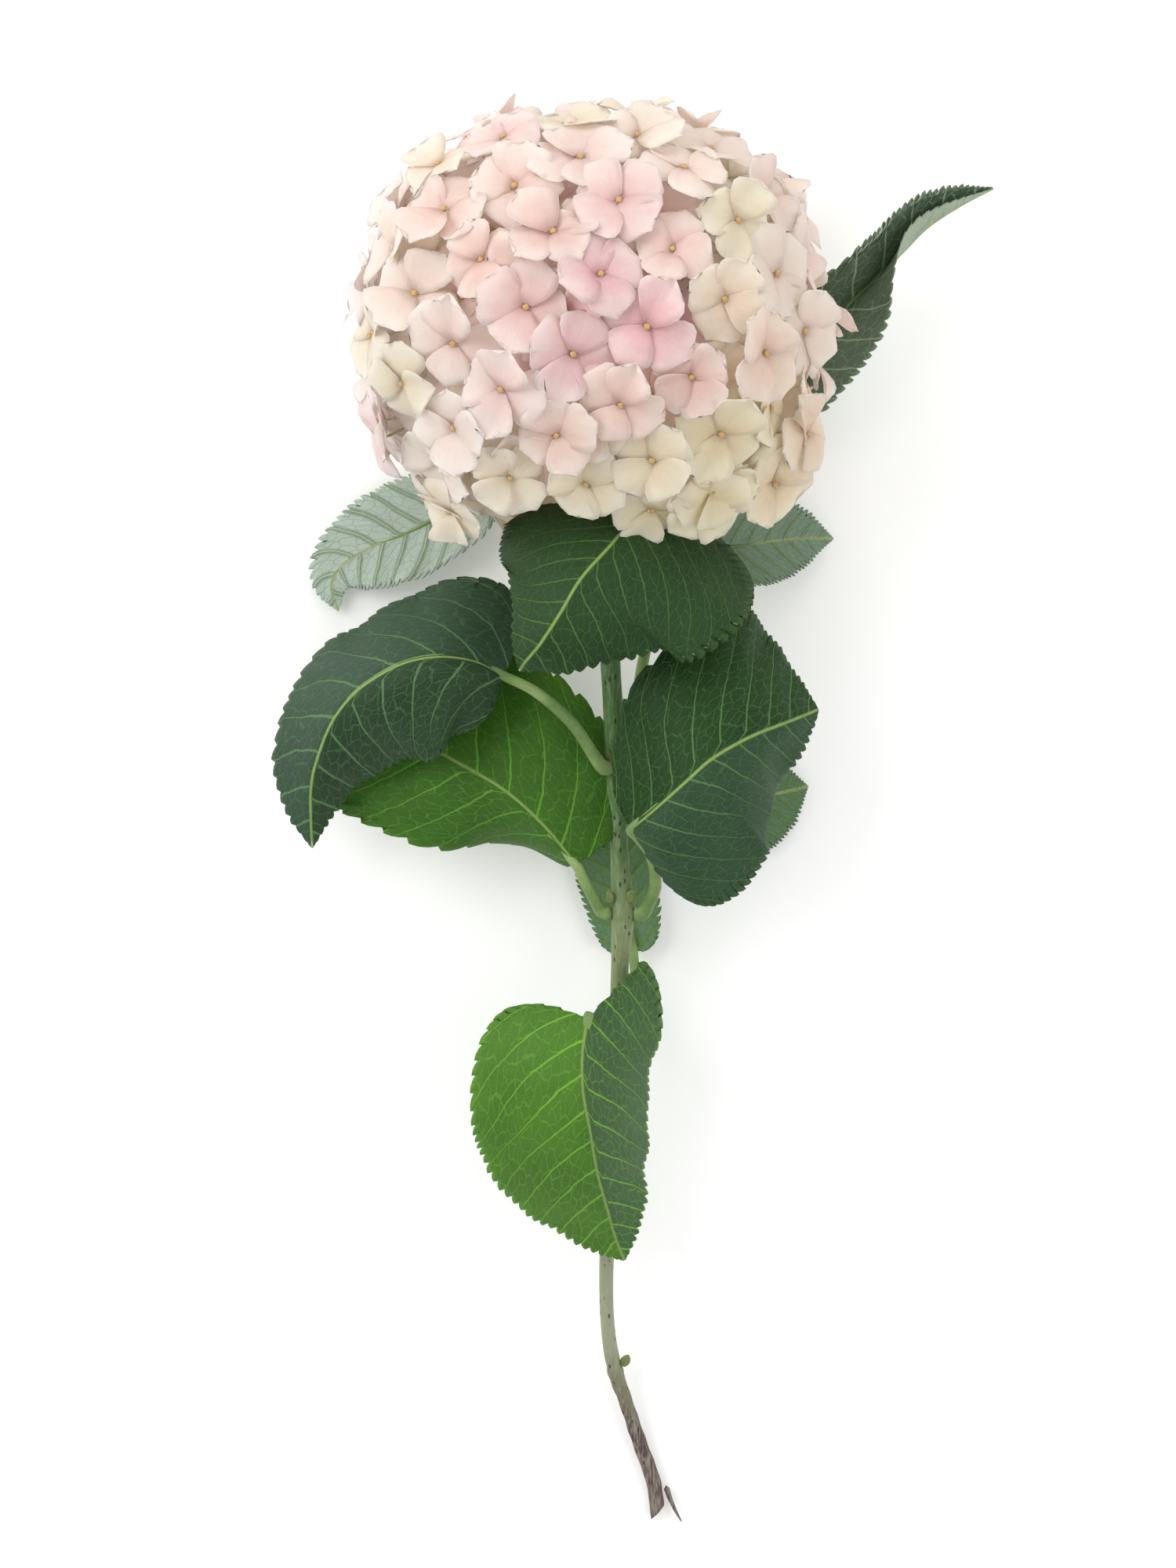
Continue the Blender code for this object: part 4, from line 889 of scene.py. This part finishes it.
def sites(count, cone, start=0.0):
    """Evenly spread floret directions on the ball, relaxed, without those around the cane."""
    golden = math.pi * (3 - math.sqrt(5))
    dirs = []
    for i in range(count):
        y = 1 - 2 * (i + 0.5) / count
        r = math.sqrt(1 - y * y)
        dirs.append(Vector((r * math.cos(golden * i + start), y, r * math.sin(golden * i + start))))
    for step in range(40):
        moved = []
        for a in dirs:
            push = Vector((0, 0, 0))
            for b in dirs:
                gap = a - b
                d = gap.length
                if 0 < d < 0.6:
                    push += gap / d ** 4
            moved.append((a + push * 0.00012).normalized())
        dirs = moved
    limit = math.cos(math.radians(cone))
    return [d for d in dirs if d.y > limit]


def dome(direction):
    """Point of the bloom surface in a direction, and the outward normal there."""
    q = [direction[i] / BLOOM_RADII[i] for i in range(3)]
    power = BLOOM_SQUARE
    size = sum(abs(v) ** power for v in q) ** (-1 / power)
    normal = Vector([math.copysign(abs(q[i]) ** (power - 1), q[i]) / BLOOM_RADII[i] for i in range(3)])
    return BLOOM_CENTRE + direction * size, normal.normalized()


def clusters(points, count):
    """Groups neighbouring points round evenly spread centres."""
    golden = math.pi * (3 - math.sqrt(5))
    limit = math.cos(math.radians(CANE_CONE))
    centres = []
    for i in range(count):
        y = 1 - (1 - limit) * (i + 0.5) / count
        r = math.sqrt(max(0.0, 1 - y * y))
        centres.append(Vector((r * math.cos(golden * i + 1), y, r * math.sin(golden * i + 1))))
    groups = []
    for step in range(12):
        groups = [[] for c in centres]
        for i, p in enumerate(points):
            best = min(range(count), key=lambda k: (centres[k] - p).length)
            groups[best].append(i)
        for k, g in enumerate(groups):
            if g:
                centres[k] = sum((points[i] for i in g), Vector()).normalized()
    return [g for g in groups if g]


def tint_at(direction, dice):
    """Colours of a floret's outer parts and heart, from where it sits on the ball."""
    total, rim, heart = 0.0, Vector((0, 0, 0)), Vector((0, 0, 0))
    for towards, outer, inner in TINTS:
        weight = math.exp(TINT_FOCUS * (Vector(towards).normalized().dot(direction) - 1))
        total += weight
        rim += Vector(outer) * weight
        heart += Vector(inner) * weight
    rim, heart = rim / total, heart / total
    shift = dice.uniform(-1, 1)
    green, blush = max(0.0, shift - 0.45) * 1.0, max(0.0, -shift - 0.3) * 0.4
    rim = rim.lerp(Vector((0.90, 0.92, 0.70)), green).lerp(Vector((0.90, 0.68, 0.72)), blush)
    heart = heart.lerp(Vector((0.84, 0.84, 0.52)), green).lerp(Vector((0.84, 0.44, 0.50)), blush)
    light = dice.uniform(0.96, 1.03)
    return [min(1.0, c * light) for c in rim] + [1], [min(1.0, c * light) for c in heart] + [1]


kinds = [floret_kind(k) for k in range(FLORET_KINDS)]
crown = Vector((3.3, 155, 87))
ray_dirs = [Vector((0, 1, 0))]
for n in range(SIDE_RAYS):
    a = 2 * math.pi * (n + 0.5) / SIDE_RAYS
    tilt = math.radians(RAY_TILT)
    ray_dirs.append(Vector((math.sin(tilt) * math.cos(a), math.cos(tilt), math.sin(tilt) * math.sin(a))))
knobs = []
for d in ray_dirs:
    knob = BLOOM_CENTRE + d * RAY_RADIUS
    knobs.append(knob - (knob - crown).normalized() * 1.6)

directions = sites(FLORET_COUNT, CANE_CONE)
groups = clusters(directions, CYME_COUNT)
centres = [sum((directions[i] for i in group), Vector()).normalized() for group in groups]
deeper = [[] for _ in groups]
for direction in sites(INNER_COUNT, INNER_CONE, INNER_START):
    nearest = min(range(len(groups)), key=lambda k: (centres[k] - direction).length)
    deeper[nearest].append(direction)
stray = [[] for _ in groups]
for towards, out in STRAYS:
    direction = Vector(towards).normalized()
    nearest = min(range(len(groups)), key=lambda k: (centres[k] - direction).length)
    stray[nearest].append((direction, -out))


def bloom_floret(direction, seed, depth):
    """A copied floret set on the ball, turned, leaned and tinted, and the place of its centre."""
    dice = random.Random(seed)
    spot, normal = dome(direction)
    if spot.z < SETTLE_HEIGHT:
        settled = min(1.0, (SETTLE_HEIGHT - spot.z) / SETTLE_SPAN)
        normal = normal.lerp(Vector((0, 0, -1)), settled).normalized()
    spot = spot - normal * depth
    lean = Vector((dice.uniform(-1, 1), dice.uniform(-1, 1), dice.uniform(-1, 1))) * LEAN
    if direction.z > BACK_BELOW:
        lean.z += FRONT_LEAN if seed < STRAY_SEED else STRAY_LEAN
    normal = (normal + lean).normalized()
    spot = spot + normal * dice.uniform(-3.5, 3.0)
    side = normal.orthogonal().normalized()
    turn = Matrix.Rotation(dice.uniform(0, 6.28), 3, normal)
    turn = turn @ Matrix((side, normal.cross(side), normal)).transposed()
    size = dice.uniform(0.86, 1.08)
    model = kinds[dice.randrange(FLORET_KINDS)]
    copy = bpy.data.objects.new("floret", model.data.copy())
    bpy.context.scene.collection.objects.link(copy)
    for v in copy.data.vertices:
        v.co = (rested(spot + turn @ (v.co / MM * size), 0.2) + PLANT) * MM
    rim, heart = tint_at(direction, dice)
    for tint, colour in (("rim", rim), ("heart", heart)):
        copy.data.attributes[tint].data.foreach_set("color", colour * len(copy.data.vertices))
    return copy, spot, normal


def flower_stalk(line, radius):
    """A thin stalk through a few points, kept clear of the table."""
    for p in line:
        p.z = max(p.z, STALK_FLOOR)
    stalk = tube("stalk", Spine(line, Vector((0.3, 0.2, 0.9)), 6), 9, 6, lambda f: radius)
    stalk.data.materials.append(pedicel_skin.material)
    stalk.data.uv_layers[0].name = "sepal"
    return stalk


for n, group in enumerate(groups):
    places = [dome(directions[i]) for i in group]
    middle = sum((spot for spot, normal in places), Vector()) / len(group)
    outward = sum((normal for spot, normal in places), Vector()).normalized()
    fork = middle - outward * FORK_BACK
    home = min(knobs, key=lambda k: (k - middle).length)
    foot = home + (fork - home).normalized() * KNOB_OUT
    start = fork if len(group) > 1 else foot
    wanted = [(directions[i], i, 0) for i in group]
    seed = INNER_SEED + SEEDS_PER_CYME * n
    wanted += [(direction, seed + k, INNER_DEPTH) for k, direction in enumerate(deeper[n])]
    seed = STRAY_SEED + SEEDS_PER_CYME * n
    wanted += [(direction, seed + k, depth) for k, (direction, depth) in enumerate(stray[n])]
    parts = []
    for direction, seed, depth in wanted:
        flower, spot, normal = bloom_floret(direction, seed, depth)
        parts.append(flower)
        line = [start.copy(), start.lerp(spot, 0.5), spot - normal * 4, spot]
        parts.append(flower_stalk(line, STALK_RADIUS))
    if len(group) > 1:
        line = [foot, foot.lerp(fork, 0.5), fork + (fork - foot).normalized()]
        parts.append(flower_stalk(line, FORK_RADIUS))
    label = "%02d" % (n + 1)
    flowers = joined("flowers_" + label, parts)
    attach(flowers, "root")
    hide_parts("cyme_" + label)
    "cyme_" + label
for model in kinds:
    bpy.data.objects.remove(model, do_unlink=True)
